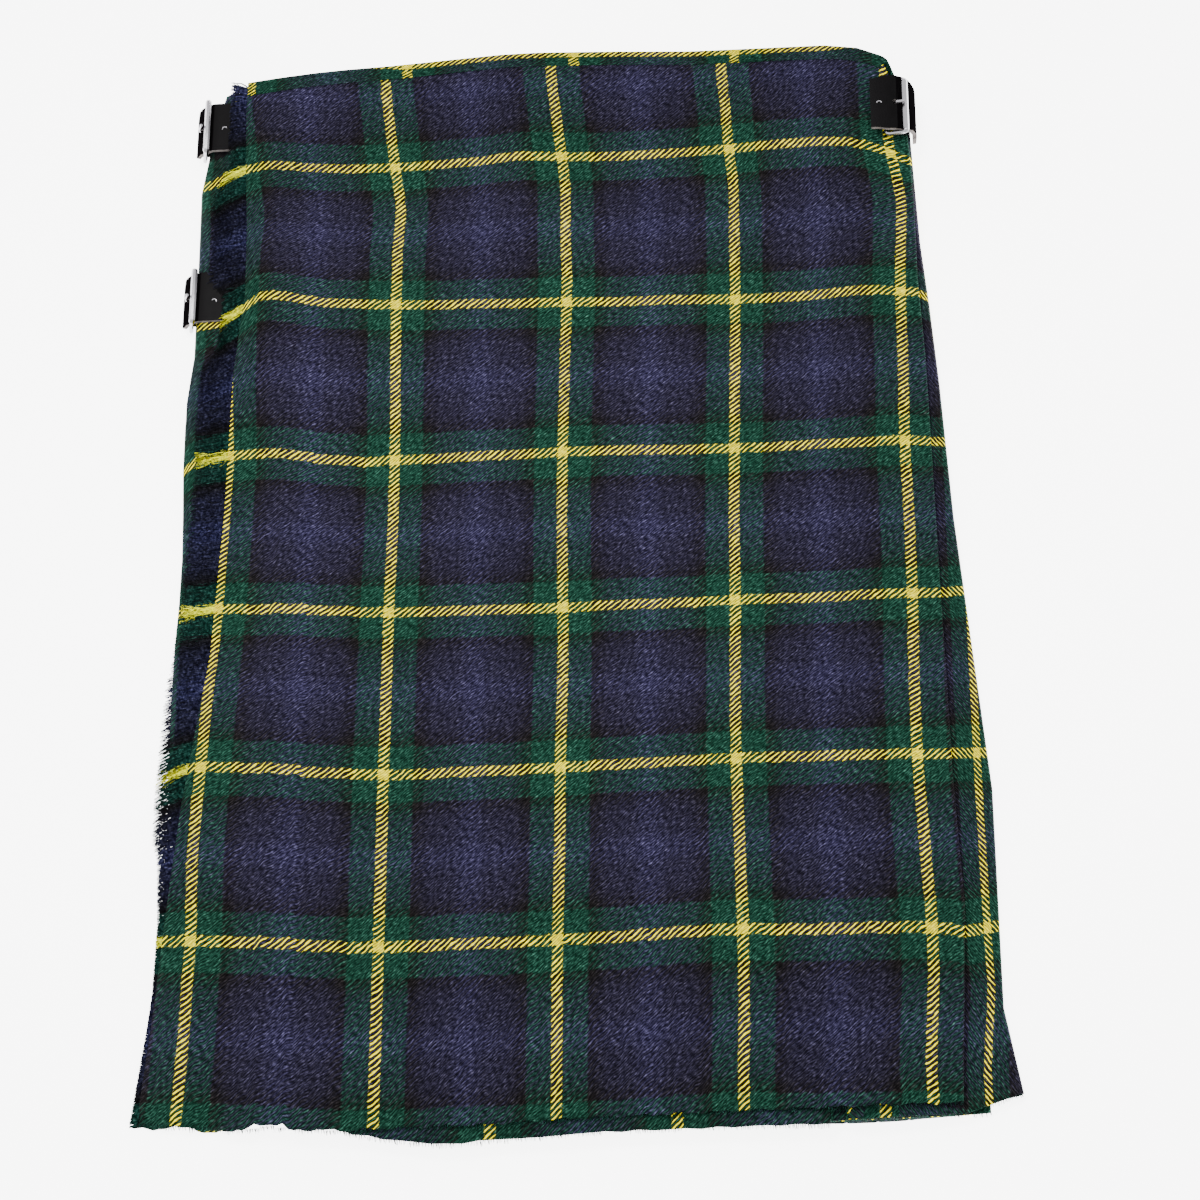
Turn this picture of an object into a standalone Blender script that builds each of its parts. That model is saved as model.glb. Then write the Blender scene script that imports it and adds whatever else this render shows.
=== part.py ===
"""Scottish kilt laid flat, front up: knife pleats under, two aprons over them, three buckled straps.

X runs across the kilt (+X is the wearer's left), Y up towards the waist, Z up from the surface that it
lies on. The origin is on the underside, on the flat face of a middle pleat. Sizes are in millimetres
and become metres when a mesh is made.
"""
from collections import namedtuple
import math

import bmesh
import bpy
import numpy as np

MM = 0.001

# Cloth and cut
LENGTH = 612.0
SETT = 93.0
PLEATS = 23
PLEAT_WALL = 1.0
APRON_WALL = 1.2
UNDER_WALL = 1.1
BAND_WALL = 1.0
LEATHER = 2.0
CHAPE_LEATHER = 1.0
SEAM_GAP = 0.3
PLEAT_PITCH = 1.25
CLOTH_TOP = 2.0
BAND_DEPTH = 11.0

# Straps and buckles
STRAP_WIDTH = 30.5
BUCKLE_HEIGHT = 36.0
BUCKLE_SPAN = 11.0
BUCKLE_WIRE = 1.2
OUTER_BAR_WIRE = 1.8
OUTER_BAR_RISE = 1.9
RIGHT_BUCKLE_SHIFT = 1.2
CORNER = 1.8
HOLE_REACH = 2.4
PRONG_WIRE = 0.9
PRONG_HOLE = 1.5

# The laid-out shape at distances down from the waist: where the lower layers fold at each side and how
# high they stand there, the over apron's free edge and its fold, and the first and last pleat's folds.
Outline = namedtuple(
    "Outline",
    "down left_side left_height apron_edge first_pleat last_pleat fold_edge right_side right_height",
)
OUTLINE = (
    Outline(0, -195.0, 11.0, -181.0, -177.0, 140.0, 180.0, 186.0, 9.0),
    Outline(15, -198.5, 11.0, -181.0, -178.4, 141.4, 186.5, 191.0, 9.5),
    Outline(32, -202.0, 11.0, -180.5, -180.0, 143.0, 191.5, 194.2, 9.5),
    Outline(60, -204.5, 11.0, -179.5, -181.8, 145.3, 193.6, 195.2, 9.0),
    Outline(93, -205.5, 11.0, -178.0, -184.0, 148.0, 194.8, 196.0, 8.5),
    Outline(135, -205.5, 11.0, -177.0, -185.4, 151.2, 195.0, 200.0, 7.5),
    Outline(186, -206.0, 10.5, -182.0, -187.0, 155.0, 197.5, 204.0, 6.0),
    Outline(269, -206.0, 5.5, -184.0, -187.0, 160.0, 199.0, 208.0, 5.0),
    Outline(352, -207.2, 4.0, -188.0, -184.5, 164.5, 200.5, 215.0, 4.5),
    Outline(435, -205.0, 3.6, -199.0, -182.0, 169.0, 202.0, 222.0, 4.2),
    Outline(507, -199.0, 3.5, -205.0, -181.6, 171.0, 205.0, 222.2, 4.0),
    Outline(559, -196.0, 3.5, -209.0, -181.3, 172.5, 202.5, 222.0, 4.0),
    Outline(612, -196.0, 3.5, -214.0, -181.0, 174.0, 200.0, 230.0, 4.0),
)
PLEAT_ROWS = (0, 15, 32, 93, 135, 186, 269, 435, 559, 612)
UNDER_ROWS = (0, 15, 32, 60, 93, 135, 186, 225, 269, 352, 435, 507, 559, 612)
OVER_ROWS = (0, 15, 32, 60, 93, 115, 135, 160, 186, 225, 269, 310, 352, 395, 435, 472, 507, 559, 612)

# Lines across the kilt, as distance along X and place along Y
Place = namedtuple("Place", "x y")
WAIST_LINE = (
    Place(-206, 289), Place(-184, 294), Place(-152, 298.5), Place(-128, 299), Place(-95, 300.6),
    Place(-60, 303.3), Place(-25, 305.8), Place(26, 304.3), Place(70, 302.3), Place(129, 302.6),
    Place(160, 303.8), Place(170, 302.5), Place(179, 299), Place(188, 294), Place(200, 289),
)
OVER_HEM = (
    Place(-216, -300.5), Place(-192, -304), Place(-179, -304.5), Place(-164, -307.5), Place(-152, -305),
    Place(-134, -306.7), Place(-119, -308.2), Place(-104, -309), Place(-90, -307), Place(-34, -306),
    Place(1, -304), Place(92, -301), Place(188, -299), Place(203, -298),
)
UNDER_HEM = (
    Place(-200, -292), Place(-112, -300), Place(-104, -309.5), Place(-89, -312.4), Place(-60, -316),
    Place(-45, -315), Place(-28, -313), Place(-8, -312), Place(10, -310.4), Place(40, -309.4),
    Place(100, -308.2), Place(139, -308), Place(175, -306),
)
BACK_HEM = (
    Place(-190, -291), Place(-84, -296), Place(-66, -305), Place(150, -305.8), Place(175, -304.6),
    Place(200, -303), Place(212, -302), Place(221, -300.5), Place(223, -295), Place(230, -292.5),
)

# Soft swells in the front panel, each a long rise whose middle line leans by a share of its run
Swell = namedtuple("Swell", "x y half_x half_y lean height")
SWELLS = (
    Swell(-162, -97, 9, 190, 0.061, 1.5),
    Swell(-138, 185, 26, 34, -0.35, 1.3),
    Swell(-60, 212, 62, 20, 0.0, 1.2),
    Swell(46, 130, 80, 24, 0.0, 0.7),
    Swell(150, 205, 26, 40, 0.1, 1.2),
    Swell(-46, 20, 24, 90, -0.08, 0.8),
    Swell(70, -80, 30, 110, 0.05, 0.8),
    Swell(150, -170, 16, 110, -0.08, 1.1),
    Swell(-100, -190, 22, 90, 0.06, 0.9),
    Swell(10, -235, 34, 60, -0.04, 0.8),
    Swell(176, 20, 9, 120, -0.05, 0.9),
)

# The fringe's length at distances down from the waist
Fringe = namedtuple("Fringe", "down length")
FRINGE = (
    Fringe(15, 8), Fringe(48, 9), Fringe(62, 19), Fringe(116, 20), Fringe(128, 11), Fringe(158, 11),
    Fringe(168, 19), Fringe(200, 18), Fringe(238, 16), Fringe(290, 17), Fringe(366, 18), Fringe(412, 14),
    Fringe(440, 8), Fringe(503, 5), Fringe(530, 3), Fringe(612, 3),
)
FRINGE_PITCH = 4.0
FRINGE_STRIP = 2.4
FRINGE_THICK = 0.8

Finish = namedtuple("Finish", "colour roughness metallic")
TARTAN = Finish((0.020, 0.035, 0.055, 1.0), 0.9, 0.0)
BLACK_LEATHER = Finish((0.012, 0.011, 0.012, 1.0), 0.45, 0.0)
STEEL = Finish((0.62, 0.62, 0.64, 1.0), 0.25, 1.0)

# Straps, with the middle of each along Y, and the X of the buckle's outer bar and of the strap's inner end
Strap = namedtuple("Strap", "name y bar_x inner_x")
LEFT_STRAPS = (Strap("left_upper", 269.0, -203.6, -171.0), Strap("left_lower", 161.0, -206.3, -167.0))
RIGHT_STRAP = Strap("right", 263.5, 191.8, 172.5)


def smooth(start, end, value):
    """0 before start, 1 after end and a soft step between them."""
    t = np.clip((value - start) / (end - start), 0.0, 1.0)
    return t * t * (3.0 - 2.0 * t)


def outline(down, column):
    return float(np.interp(down, [row.down for row in OUTLINE], [getattr(row, column) for row in OUTLINE]))


def line_y(line, x):
    return float(np.interp(x, [place.x for place in line], [place.y for place in line]))


def place_y(x, down, hem):
    """Y of a point of the cloth, from its distance down and the hem line of its piece."""
    top = line_y(WAIST_LINE, x) - CLOTH_TOP
    return top + (line_y(hem, x) - top) * down / LENGTH


def down_at(x, y):
    """Distance down from the waist of a place on the over apron."""
    top = line_y(WAIST_LINE, x) - CLOTH_TOP
    return LENGTH * (y - top) / (line_y(OVER_HEM, x) - top)


def reveal(down):
    return (outline(down, "last_pleat") - outline(down, "first_pleat")) / PLEATS


def pleat_depth(down):
    return (SETT - reveal(down)) / 2.0


def lift(down):
    """How far the pleats leave the floor under the waistband's outer ply."""
    return (BAND_WALL + SEAM_GAP) * (1.0 - smooth(BAND_DEPTH + 8.0, BAND_DEPTH + 24.0, down))


def band_room(down, fade):
    """Room for one ply of waistband, which fades out below it."""
    return (BAND_WALL + SEAM_GAP) * (1.0 - smooth(BAND_DEPTH + 2.0, fade, down))


def stack_top(x, down):
    """Height of the top of the folded pleats."""
    r = reveal(down)
    d = pleat_depth(down)
    full = PLEAT_WALL + (2.0 * d / r + 2.0) * PLEAT_PITCH
    per_mm = 2.0 * PLEAT_PITCH / r
    rise = PLEAT_WALL + 1.4 * PLEAT_PITCH + per_mm * (x - outline(down, "first_pleat"))
    fall = PLEAT_WALL + 2.4 * PLEAT_PITCH + per_mm * (outline(down, "last_pleat") + d - x)
    return lift(down) + max(min(rise, full, fall), PLEAT_WALL)


def lower_layer(x, down):
    """Underside of the layer on the pleats: the under apron, and at the right the wrapped side."""
    on_pleats = stack_top(x, down) + SEAM_GAP + 2.5 * band_room(down, 60.0)
    from_left = x - outline(down, "left_side")
    from_right = outline(down, "right_side") - x
    left = outline(down, "left_height") * (1.0 - smooth(42.0, 84.0, from_left))
    right = outline(down, "right_height") * (1.0 - smooth(14.0, 60.0, from_right))
    return max(on_pleats, left, right)


def swell(x, y):
    height = 0.0
    for s in SWELLS:
        across = (x - s.x - s.lean * (y - s.y)) / s.half_x
        along = (y - s.y) / s.half_y
        height += s.height * math.exp(-across * across - along * along)
    return height


def strap_lift(x, down):
    """The over apron stands up where the left straps come out from under it."""
    near_edge = 1.0 - smooth(16.0, 44.0, x - outline(down, "apron_edge"))
    upper = 1.0 - smooth(60.0, 86.0, down)
    lower = smooth(80.0, 100.0, down) * (1.0 - smooth(164.0, 196.0, down))
    return (LEATHER + SEAM_GAP) * near_edge * max(upper, lower)


def over_floor(x, down):
    """Underside of the over apron's top leaf."""
    base = lower_layer(x, down) + UNDER_WALL + SEAM_GAP + 2.5 * band_room(down, 100.0)
    fold = outline(down, "fold_edge")
    folded_leaf = (APRON_WALL + 2.0 * SEAM_GAP) * smooth(-66.0, -52.0, x - fold)
    past_side = smooth(0.0, 16.0, outline(down, "left_side") - 1.5 - x)
    height = base + folded_leaf * smooth(BAND_DEPTH + 4.0, BAND_DEPTH + 34.0, down) + strap_lift(x, down)
    height = height * (1.0 - past_side) + 0.5 * past_side
    calm = smooth(25.0, 70.0, down) * smooth(0.0, 16.0, fold - x) * (1.0 - past_side)
    return height + SEAM_GAP * smooth(32.0, 60.0, down) + calm * swell(x, place_y(x, down, OVER_HEM))


def clear_scene():
    for obj in list(bpy.data.objects):
        bpy.data.objects.remove(obj, do_unlink=True)


def collection(name):
    made = bpy.data.collections.new(name)
    bpy.context.scene.collection.children.link(made)
    return made


def material(name, finish):
    made = bpy.data.materials.new(name)
    made.use_nodes = True
    shader = made.node_tree.nodes["Principled BSDF"]
    shader.inputs["Base Color"].default_value = finish.colour
    shader.inputs["Roughness"].default_value = finish.roughness
    shader.inputs["Metallic"].default_value = finish.metallic
    made.diffuse_color = finish.colour
    return made


def keep(group, name, data, finish):
    """Puts finished mesh or curve data into the collection as one named piece with its own material."""
    obj = bpy.data.objects.new(name, data)
    data.materials.append(material(name, finish))
    group.objects.link(obj)
    return obj


def face_outwards(mesh):
    work = bmesh.new()
    work.from_mesh(mesh)
    bmesh.ops.recalc_face_normals(work, faces=work.faces)
    if work.calc_volume(signed=True) < 0.0:
        bmesh.ops.reverse_faces(work, faces=work.faces)
    work.to_mesh(mesh)
    work.free()


def wall_mesh(name, lower, upper):
    """A wall of cloth between two grids of points, rows by columns, closed along its four edges."""
    rows, columns = lower.shape[:2]
    mesh = bpy.data.meshes.new(name)
    points = np.concatenate([lower.reshape(-1, 3), upper.reshape(-1, 3)]) * MM
    other = rows * columns

    def index(row, column, side):
        return side * other + row * columns + column

    faces = []
    for i in range(rows - 1):
        for j in range(columns - 1):
            faces.append([index(i, j, 0), index(i, j + 1, 0), index(i + 1, j + 1, 0), index(i + 1, j, 0)])
            faces.append([index(i, j, 1), index(i + 1, j, 1), index(i + 1, j + 1, 1), index(i, j + 1, 1)])
    for i in range(rows - 1):
        for j in (0, columns - 1):
            faces.append([index(i, j, 0), index(i + 1, j, 0), index(i + 1, j, 1), index(i, j, 1)])
    for j in range(columns - 1):
        for i in (0, rows - 1):
            faces.append([index(i, j, 0), index(i, j, 1), index(i, j + 1, 1), index(i, j + 1, 0)])
    mesh.from_pydata(points.tolist(), [], faces)
    face_outwards(mesh)
    return mesh


def offset_line(points, distance):
    """A folded line of (x, z) points moved to its left by a distance, with mitred corners."""
    points = np.asarray(points, float)
    steps = np.diff(points, axis=0)
    steps /= np.linalg.norm(steps, axis=1)[:, None]
    normals = np.stack([-steps[:, 1], steps[:, 0]], axis=1)
    middle = np.concatenate([normals[:1], normals]) + np.concatenate([normals, normals[-1:]])
    length = np.linalg.norm(middle, axis=1)[:, None]
    return points + distance * middle / length * (2.0 / np.maximum(length, 0.9))


def folded_wall(name, section, hem, thickness, rows, starts):
    """A wall whose section across the kilt is a folded centre line, laid from the waist to the hem.

    starts gives each column's own distance down at which it begins, for leaves that end below the band."""
    sides = ([], [])
    begin = np.array(starts, float)
    for row in rows:
        share = row / LENGTH
        downs = begin + (LENGTH - begin) * share
        line = np.zeros((len(begin), 2))
        for down in sorted(set(downs.tolist())):
            line[downs == down] = np.array(section(down), float)[downs == down]
        ys = np.array([place_y(x, down, hem) for (x, _), down in zip(line, downs)])
        for side, distance in zip(sides, (-thickness / 2.0, thickness / 2.0)):
            moved = offset_line(line, distance)
            side.append(np.stack([moved[:, 0], ys, moved[:, 1]], axis=1))
    return wall_mesh(name, np.array(sides[0]), np.array(sides[1]))


def panel_columns(down):
    """X of the columns that the aprons share, up to where the right side's leaves begin."""
    first = outline(down, "first_pleat")
    right = outline(down, "fold_edge") - 66.0
    left = [first + step for step in (4.0, 12.0, 20.0, 36.0, 54.0, 78.0)]
    between = [left[-1] + share * (right - left[-1]) for share in np.linspace(0.1, 0.9, 9)]
    return left + between + [right]


def pleat_fold(index, down):
    """X of an outer fold of the pleats, slightly uneven as pressed pleats are."""
    uneven = 0.5 * math.sin(2.7 * index) * min(index, PLEATS - index, 1)
    return outline(down, "first_pleat") + reveal(down) * index + uneven


def pleat_level(index, x, down):
    """How high the forward leaf of a pleat lies over the later pleats that it covers."""
    reach = min(x, outline(down, "last_pleat"))
    return 2.0 * PLEAT_PITCH * ((reach - pleat_fold(index + 1, down)) / reveal(down) + 1.0)


def pleat_section(down):
    """Centre line of the knife pleats, from the wearer's right to the side that wraps up at the left."""
    half = PLEAT_PITCH / 2.0
    base = lift(down) + PLEAT_WALL / 2.0
    depth = pleat_depth(down)
    last = outline(down, "last_pleat")
    first = pleat_fold(0, down)
    hidden = first + 20.0
    line = [(hidden, base + PLEAT_PITCH + 2.0 * PLEAT_PITCH * (hidden - first) / reveal(down))]
    for index in range(PLEATS):
        fold = pleat_fold(index, down)
        following = pleat_fold(index + 1, down)
        end = following + depth
        top = base + pleat_level(index, end, down)
        line += [
            (fold + half, base + PLEAT_PITCH),
            (fold, base + half),
            (fold + half, base),
            (following - 0.4 - 2.0 * PLEAT_PITCH, base),
            (following - 0.4, base + 2.0 * PLEAT_PITCH),
        ]
        crosses_last = PLEATS - 3 <= index < PLEATS - 1
        if crosses_last:
            line.append((last, base + pleat_level(index, last, down)))
        line += [(end - half, top), (end, top - half), (end - half, top - PLEAT_PITCH)]
        if crosses_last:
            line.append((last, base + pleat_level(index, last, down) - PLEAT_PITCH))
    return line + side_wrap(down, base)


def side_wrap(down, base):
    """The last leaf runs on along the floor, up round the side and back under the over apron."""
    half = PLEAT_PITCH / 2.0
    last = pleat_fold(PLEATS, down)
    side = outline(down, "right_side") - PLEAT_WALL / 2.0
    fold = outline(down, "fold_edge")
    top = lower_layer(side - 3.0, down) + PLEAT_WALL / 2.0
    radius = (top - base) / 2.0
    start = [(last + half, base + PLEAT_PITCH), (last, base + half), (last + half, base)]
    round_side = [
        (side - radius * (1.0 - math.cos(turn)), base + radius + radius * math.sin(turn))
        for turn in np.radians([-90.0, -45.0, 0.0, 45.0, 90.0])
    ]
    beside_fold = min(fold + 2.0, side - radius - 1.0)
    columns = (beside_fold, fold - 14.0, fold - 32.0, fold - 50.0, fold - 58.0)
    return start + round_side + [(x, lower_layer(x, down) + PLEAT_WALL / 2.0) for x in columns]


def pleat_starts():
    """The wrapped side begins below the waistband."""
    count = len(pleat_section(LENGTH))
    return [0.0] * (count - 10) + [17.0] * 10


def under_section(down):
    """Centre line of the under apron, wrapped round the left side and lying on the pleats."""
    half = UNDER_WALL / 2.0
    base = half + lift(down)
    side = outline(down, "left_side") + half
    inner = outline(down, "first_pleat") - 1.6
    top = lower_layer(side + 6.0, down) + half
    radius = (top - base) / 2.0
    line = [(inner, base)]
    line += [
        (side + radius * (1.0 - math.cos(turn)), base + radius - radius * math.sin(turn))
        for turn in np.radians([90.0, 45.0, 0.0, -45.0, -90.0])
    ]
    return line + [(x, lower_layer(x, down) + half) for x in panel_columns(down)]


def over_section(down):
    """Centre line of the over apron: its free edge, the front, the fold and the leaf turned under."""
    half = APRON_WALL / 2.0
    edge = outline(down, "apron_edge")
    fold = outline(down, "fold_edge")
    radius = (APRON_WALL + SEAM_GAP) / 2.0
    columns = panel_columns(down)[2:]
    past = edge < outline(down, "left_side") - 4.0
    beside = outline(down, "left_side") - 1.5 if past else edge + (columns[0] - edge) / 3.0
    columns = [edge, beside, (beside + columns[0]) / 2.0] + columns
    columns += [fold - 50.0, fold - 32.0, fold - 14.0, fold - half - radius]
    line = [(x, over_floor(x, down) + half) for x in columns]
    turn_x, turn_z = line[-1]
    line += [(fold - half, turn_z - radius), (turn_x, turn_z - 2.0 * radius)]
    for x in (fold - 14.0, fold - 32.0, fold - 50.0):
        line.append((x, lower_layer(x, down) + PLEAT_WALL + 2.0 * SEAM_GAP + half))
    return line


def over_starts():
    """The leaf that is turned under begins below the waistband."""
    return [0.0] * (len(over_section(LENGTH)) - 5) + [16.0] * 5


def band_wall(name, stations):
    """Waistband folded over a waist edge. stations(down) gives the (x, z) of its outer and inner ply."""
    sides = ([], [])
    low = np.array(stations(BAND_DEPTH), float)
    high = np.array(stations(0.0), float)
    for at_low, at_high in zip(low, high):
        for side, shift, rise in zip(sides, (-BAND_WALL / 2.0, BAND_WALL / 2.0), (-BAND_WALL, 0.0)):
            row = []
            for place in (at_low, at_high, at_high, at_low):
                away = place[:2] - place[2:]
                away = away / np.linalg.norm(away) * shift
                ply = place[:2] + away if len(row) < 2 else place[2:] - away
                y = line_y(WAIST_LINE, ply[0]) - 0.4 + rise
                if place is at_low:
                    y = place_y(ply[0], BAND_DEPTH, OVER_HEM)
                row.append((ply[0], y, ply[1]))
            side.append(row)
    return wall_mesh(name, np.array(sides[0]), np.array(sides[1]))


def ply_reach(wall):
    return wall / 2.0 + SEAM_GAP + BAND_WALL / 2.0


def band_front_stations(down):
    """Over the over apron, round the right side and a little way under it."""
    reach = ply_reach(APRON_WALL) + SEAM_GAP
    line = [(outline(down, "apron_edge") + 0.4, over_section(down)[0][1])]
    line += over_section(down)[1:-5]
    end = outline(down, "fold_edge") + 0.8
    line.append((end, over_section(down)[-6][1]))
    stations = [(x, z + reach, x, z - reach) for x, z in line]
    top = line[-1][1] + reach
    bottom = BAND_WALL / 2.0
    middle = (top + bottom) / 2.0
    outer = (top - bottom) / 2.0
    inner = outer - 2.0 * reach
    for turn in np.radians([55.0, 20.0, -15.0, -50.0, -90.0]):
        bulge = 0.45 * math.cos(turn)
        stations.append((
            end + outer * bulge, middle + outer * math.sin(turn),
            end + inner * bulge, middle + inner * math.sin(turn),
        ))
    return stations


def band_under_stations(down):
    """Round the under apron's waist edge, from the first pleat up the left side and along the front."""
    line = under_section(down)
    reach = ply_reach(UNDER_WALL)
    outer = offset_line(line, reach)
    inner = offset_line(line, -reach)
    return np.concatenate([outer, inner], axis=1)


def band_back_stations(down):
    """Under and over the folded pleats, from the right side to the first pleat."""
    fold = outline(down, "fold_edge")
    columns = [fold + 0.5, fold - 5.0, fold - 12.0, fold - 20.0, fold - 30.0, fold - 42.0, fold - 54.0]
    columns += panel_columns(down)[::-1] + [outline(down, "first_pleat") - 0.9]
    stations = []
    for x in columns:
        inner = max(stack_top(x + step, d) for step in (-3.0, 0.0, 3.0) for d in (down, 5.0))
        stations.append((x, BAND_WALL / 2.0, x, inner + SEAM_GAP + BAND_WALL / 2.0))
    return stations


def apron_edge_point(down):
    """Middle of the over apron's free edge, straight between the apron's rows."""
    points = []
    for row in OVER_ROWS:
        x = outline(row, "apron_edge")
        points.append((x, place_y(x, row, OVER_HEM), over_floor(x, row) + APRON_WALL / 2.0))
    return np.array([np.interp(down, OVER_ROWS, [p[axis] for p in points]) for axis in range(3)])


def strand_drop(x, down):
    """How far a strand has sunk where it hangs past the side of the layers below."""
    return 0.3 * max(0.0, outline(down, "left_side") - 1.0 - x)


def build_fringe(group):
    """A narrow strip along the over apron's edge, with strands drawn out of its outer side."""
    points = []
    faces = []

    def ring(down, outwards):
        """The strip's four corners: outer low, outer high, inner low, inner high."""
        at = apron_edge_point(down)
        half = FRINGE_THICK / 2.0
        outer = at[0] - SEAM_GAP - FRINGE_STRIP
        inner = at[0] - SEAM_GAP
        corners = [(outer, -half), (outer, half)] + ([(inner, -half), (inner, half)] if outwards else [])
        first = len(points)
        points.extend((x, at[1], at[2] + z) for x, z in corners)
        return list(range(first, len(points)))

    def strand(start, end, number, down):
        """Draws the strip's outer cell between two rings out into one thin tapering strand."""
        root = np.array([points[i] for i in (start[0], end[0], end[1], start[1])])
        base = root.mean(axis=0)
        length = float(np.interp(down, [f.down for f in FRINGE], [f.length for f in FRINGE]))
        length *= 0.82 + 0.18 * math.sin(5.1 * number) - 0.08 * math.cos(2.3 * number)
        sway = 0.16 * math.sin(3.7 * number) - 0.08
        first = len(points)
        for share, thin in ((0.5, 0.7), (1.0, 0.0)):
            x = base[0] - length * share
            y = base[1] + sway * length * share * share
            z = max(base[2] - strand_drop(x, down), FRINGE_THICK)
            half_y = 0.5 * abs(root[1][1] - root[0][1]) * (0.75 * thin + 0.12)
            half_z = 0.5 * FRINGE_THICK * thin
            if thin:
                corners = ((half_y, -half_z), (-half_y, -half_z), (-half_y, half_z), (half_y, half_z))
            else:
                corners = ((half_y, 0.0), (-half_y, 0.0))
            points.extend((x, y + dy, z + dz) for dy, dz in corners)
        a, b, c, d, tip_a, tip_b = range(first, first + 6)
        r0, r1, r2, r3 = start[0], end[0], end[1], start[1]
        faces.extend([(r0, r1, b, a), (r1, r2, c, b), (r2, r3, d, c), (r3, r0, a, d)])
        faces.extend([(a, b, tip_b, tip_a), (c, d, tip_a, tip_b), (b, c, tip_b), (d, a, tip_a)])

    number = 0
    first_ring = ring(OVER_ROWS[1], True)
    opening = first_ring
    for above, below in zip(OVER_ROWS[1:-1], OVER_ROWS[2:]):
        count = round((below - above) / FRINGE_PITCH)
        outer_low = [opening[0]]
        outer_high = [opening[1]]
        last = opening
        for k in range(count):
            start = ring(above + (below - above) * (k + 0.25) / count, False)
            end = ring(above + (below - above) * (k + 0.75) / count, False)
            faces.append((last[0], start[0], start[1], last[1]))
            strand(start, end, number, above + (below - above) * (k + 0.5) / count)
            outer_low += [start[0], end[0]]
            outer_high += [start[1], end[1]]
            last = end
            number += 1
        closing = ring(below, True)
        faces.append((last[0], closing[0], closing[1], last[1]))
        faces.append(tuple(outer_low + [closing[0], closing[2], opening[2]]))
        faces.append(tuple(outer_high + [closing[1], closing[3], opening[3]]))
        faces.append((opening[2], closing[2], closing[3], opening[3]))
        opening = closing
    faces.append((first_ring[0], first_ring[1], first_ring[3], first_ring[2]))
    faces.append((opening[0], opening[1], opening[3], opening[2]))
    mesh = bpy.data.meshes.new("apron_fringe")
    mesh.from_pydata((np.array(points) * MM).tolist(), [], faces)
    face_outwards(mesh)
    keep(group, "apron_fringe", mesh, TARTAN)


def leather_wall(name, line, y, widths, thickness):
    """A flat leather band along an (x, z) line, with its width at each point of the line."""
    sides = []
    for distance in (-thickness / 2.0, thickness / 2.0):
        moved = offset_line(line, distance)
        sides.append(np.array([
            [(x, y + share * width / 2.0, z) for (x, z), width in zip(moved, widths)]
            for share in (-1.0, 1.0)
        ]))
    return wall_mesh(name, sides[0], sides[1])


def wire(name, line, radius, closed, swells=()):
    """A round bar along (x, y, z) points, its first ones swollen by the given factors."""
    curve = bpy.data.curves.new(name, "CURVE")
    curve.dimensions = "3D"
    curve.bevel_depth = radius * MM
    curve.bevel_resolution = 2
    curve.use_fill_caps = not closed
    spline = curve.splines.new("POLY")
    spline.points.add(len(line) - 1)
    for point, place in zip(spline.points, line):
        point.co = (place[0] * MM, place[1] * MM, place[2] * MM, 1.0)
    for point, swollen in zip(spline.points, swells):
        point.radius = swollen
    spline.use_cyclic_u = closed
    return curve


def frame_line(outer, heel, y):
    """Rounded rectangle of a buckle, standing on the line from its outer bar to its heel bar."""
    along = np.array(heel) - np.array(outer)
    span = float(np.linalg.norm(along))
    along = along / span
    line = []
    corners = ((0.0, -1.0, 180.0), (0.0, 1.0, 90.0), (span, 1.0, 0.0), (span, -1.0, -90.0))
    for run, side, turn_from in corners:
        centre_run = run + (CORNER if run == 0.0 else -CORNER)
        centre_y = side * (BUCKLE_HEIGHT / 2.0 - BUCKLE_WIRE - CORNER)
        for turn in np.radians([turn_from + step for step in (90.0, 60.0, 30.0, 0.0)]):
            at = centre_run + CORNER * math.cos(turn)
            x, z = np.array(outer) + along * at
            line.append((x, y + centre_y + CORNER * math.sin(turn), z))
    return line


def cut_prong_hole(group, strap, line, y):
    """A round hole through the strap where the prong passes."""
    start = np.array([line[0][0], y, line[0][1]])
    end = np.array([line[1][0], y, line[1][1]])
    along = (end - start) / np.linalg.norm(end - start)
    cutter_line = [start - along * HOLE_REACH, end + along * HOLE_REACH]
    curve = wire(strap.name + "_hole", cutter_line, PRONG_HOLE, False)
    holder = bpy.data.objects.new(strap.name + "_hole_line", curve)
    bpy.context.scene.collection.objects.link(holder)
    graph = bpy.context.evaluated_depsgraph_get()
    mesh = bpy.data.meshes.new_from_object(holder.evaluated_get(graph))
    work = bmesh.new()
    work.from_mesh(mesh)
    bmesh.ops.remove_doubles(work, verts=work.verts, dist=1e-6)
    work.to_mesh(mesh)
    work.free()
    face_outwards(mesh)
    bpy.data.objects.remove(holder, do_unlink=True)
    cutter = bpy.data.objects.new(strap.name + "_hole", mesh)
    cutter.hide_render = True
    cutter.display_type = "WIRE"
    group.objects.link(cutter)
    cut = strap.modifiers.new("prong_hole", "BOOLEAN")
    cut.operation = "DIFFERENCE"
    cut.object = cutter


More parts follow.
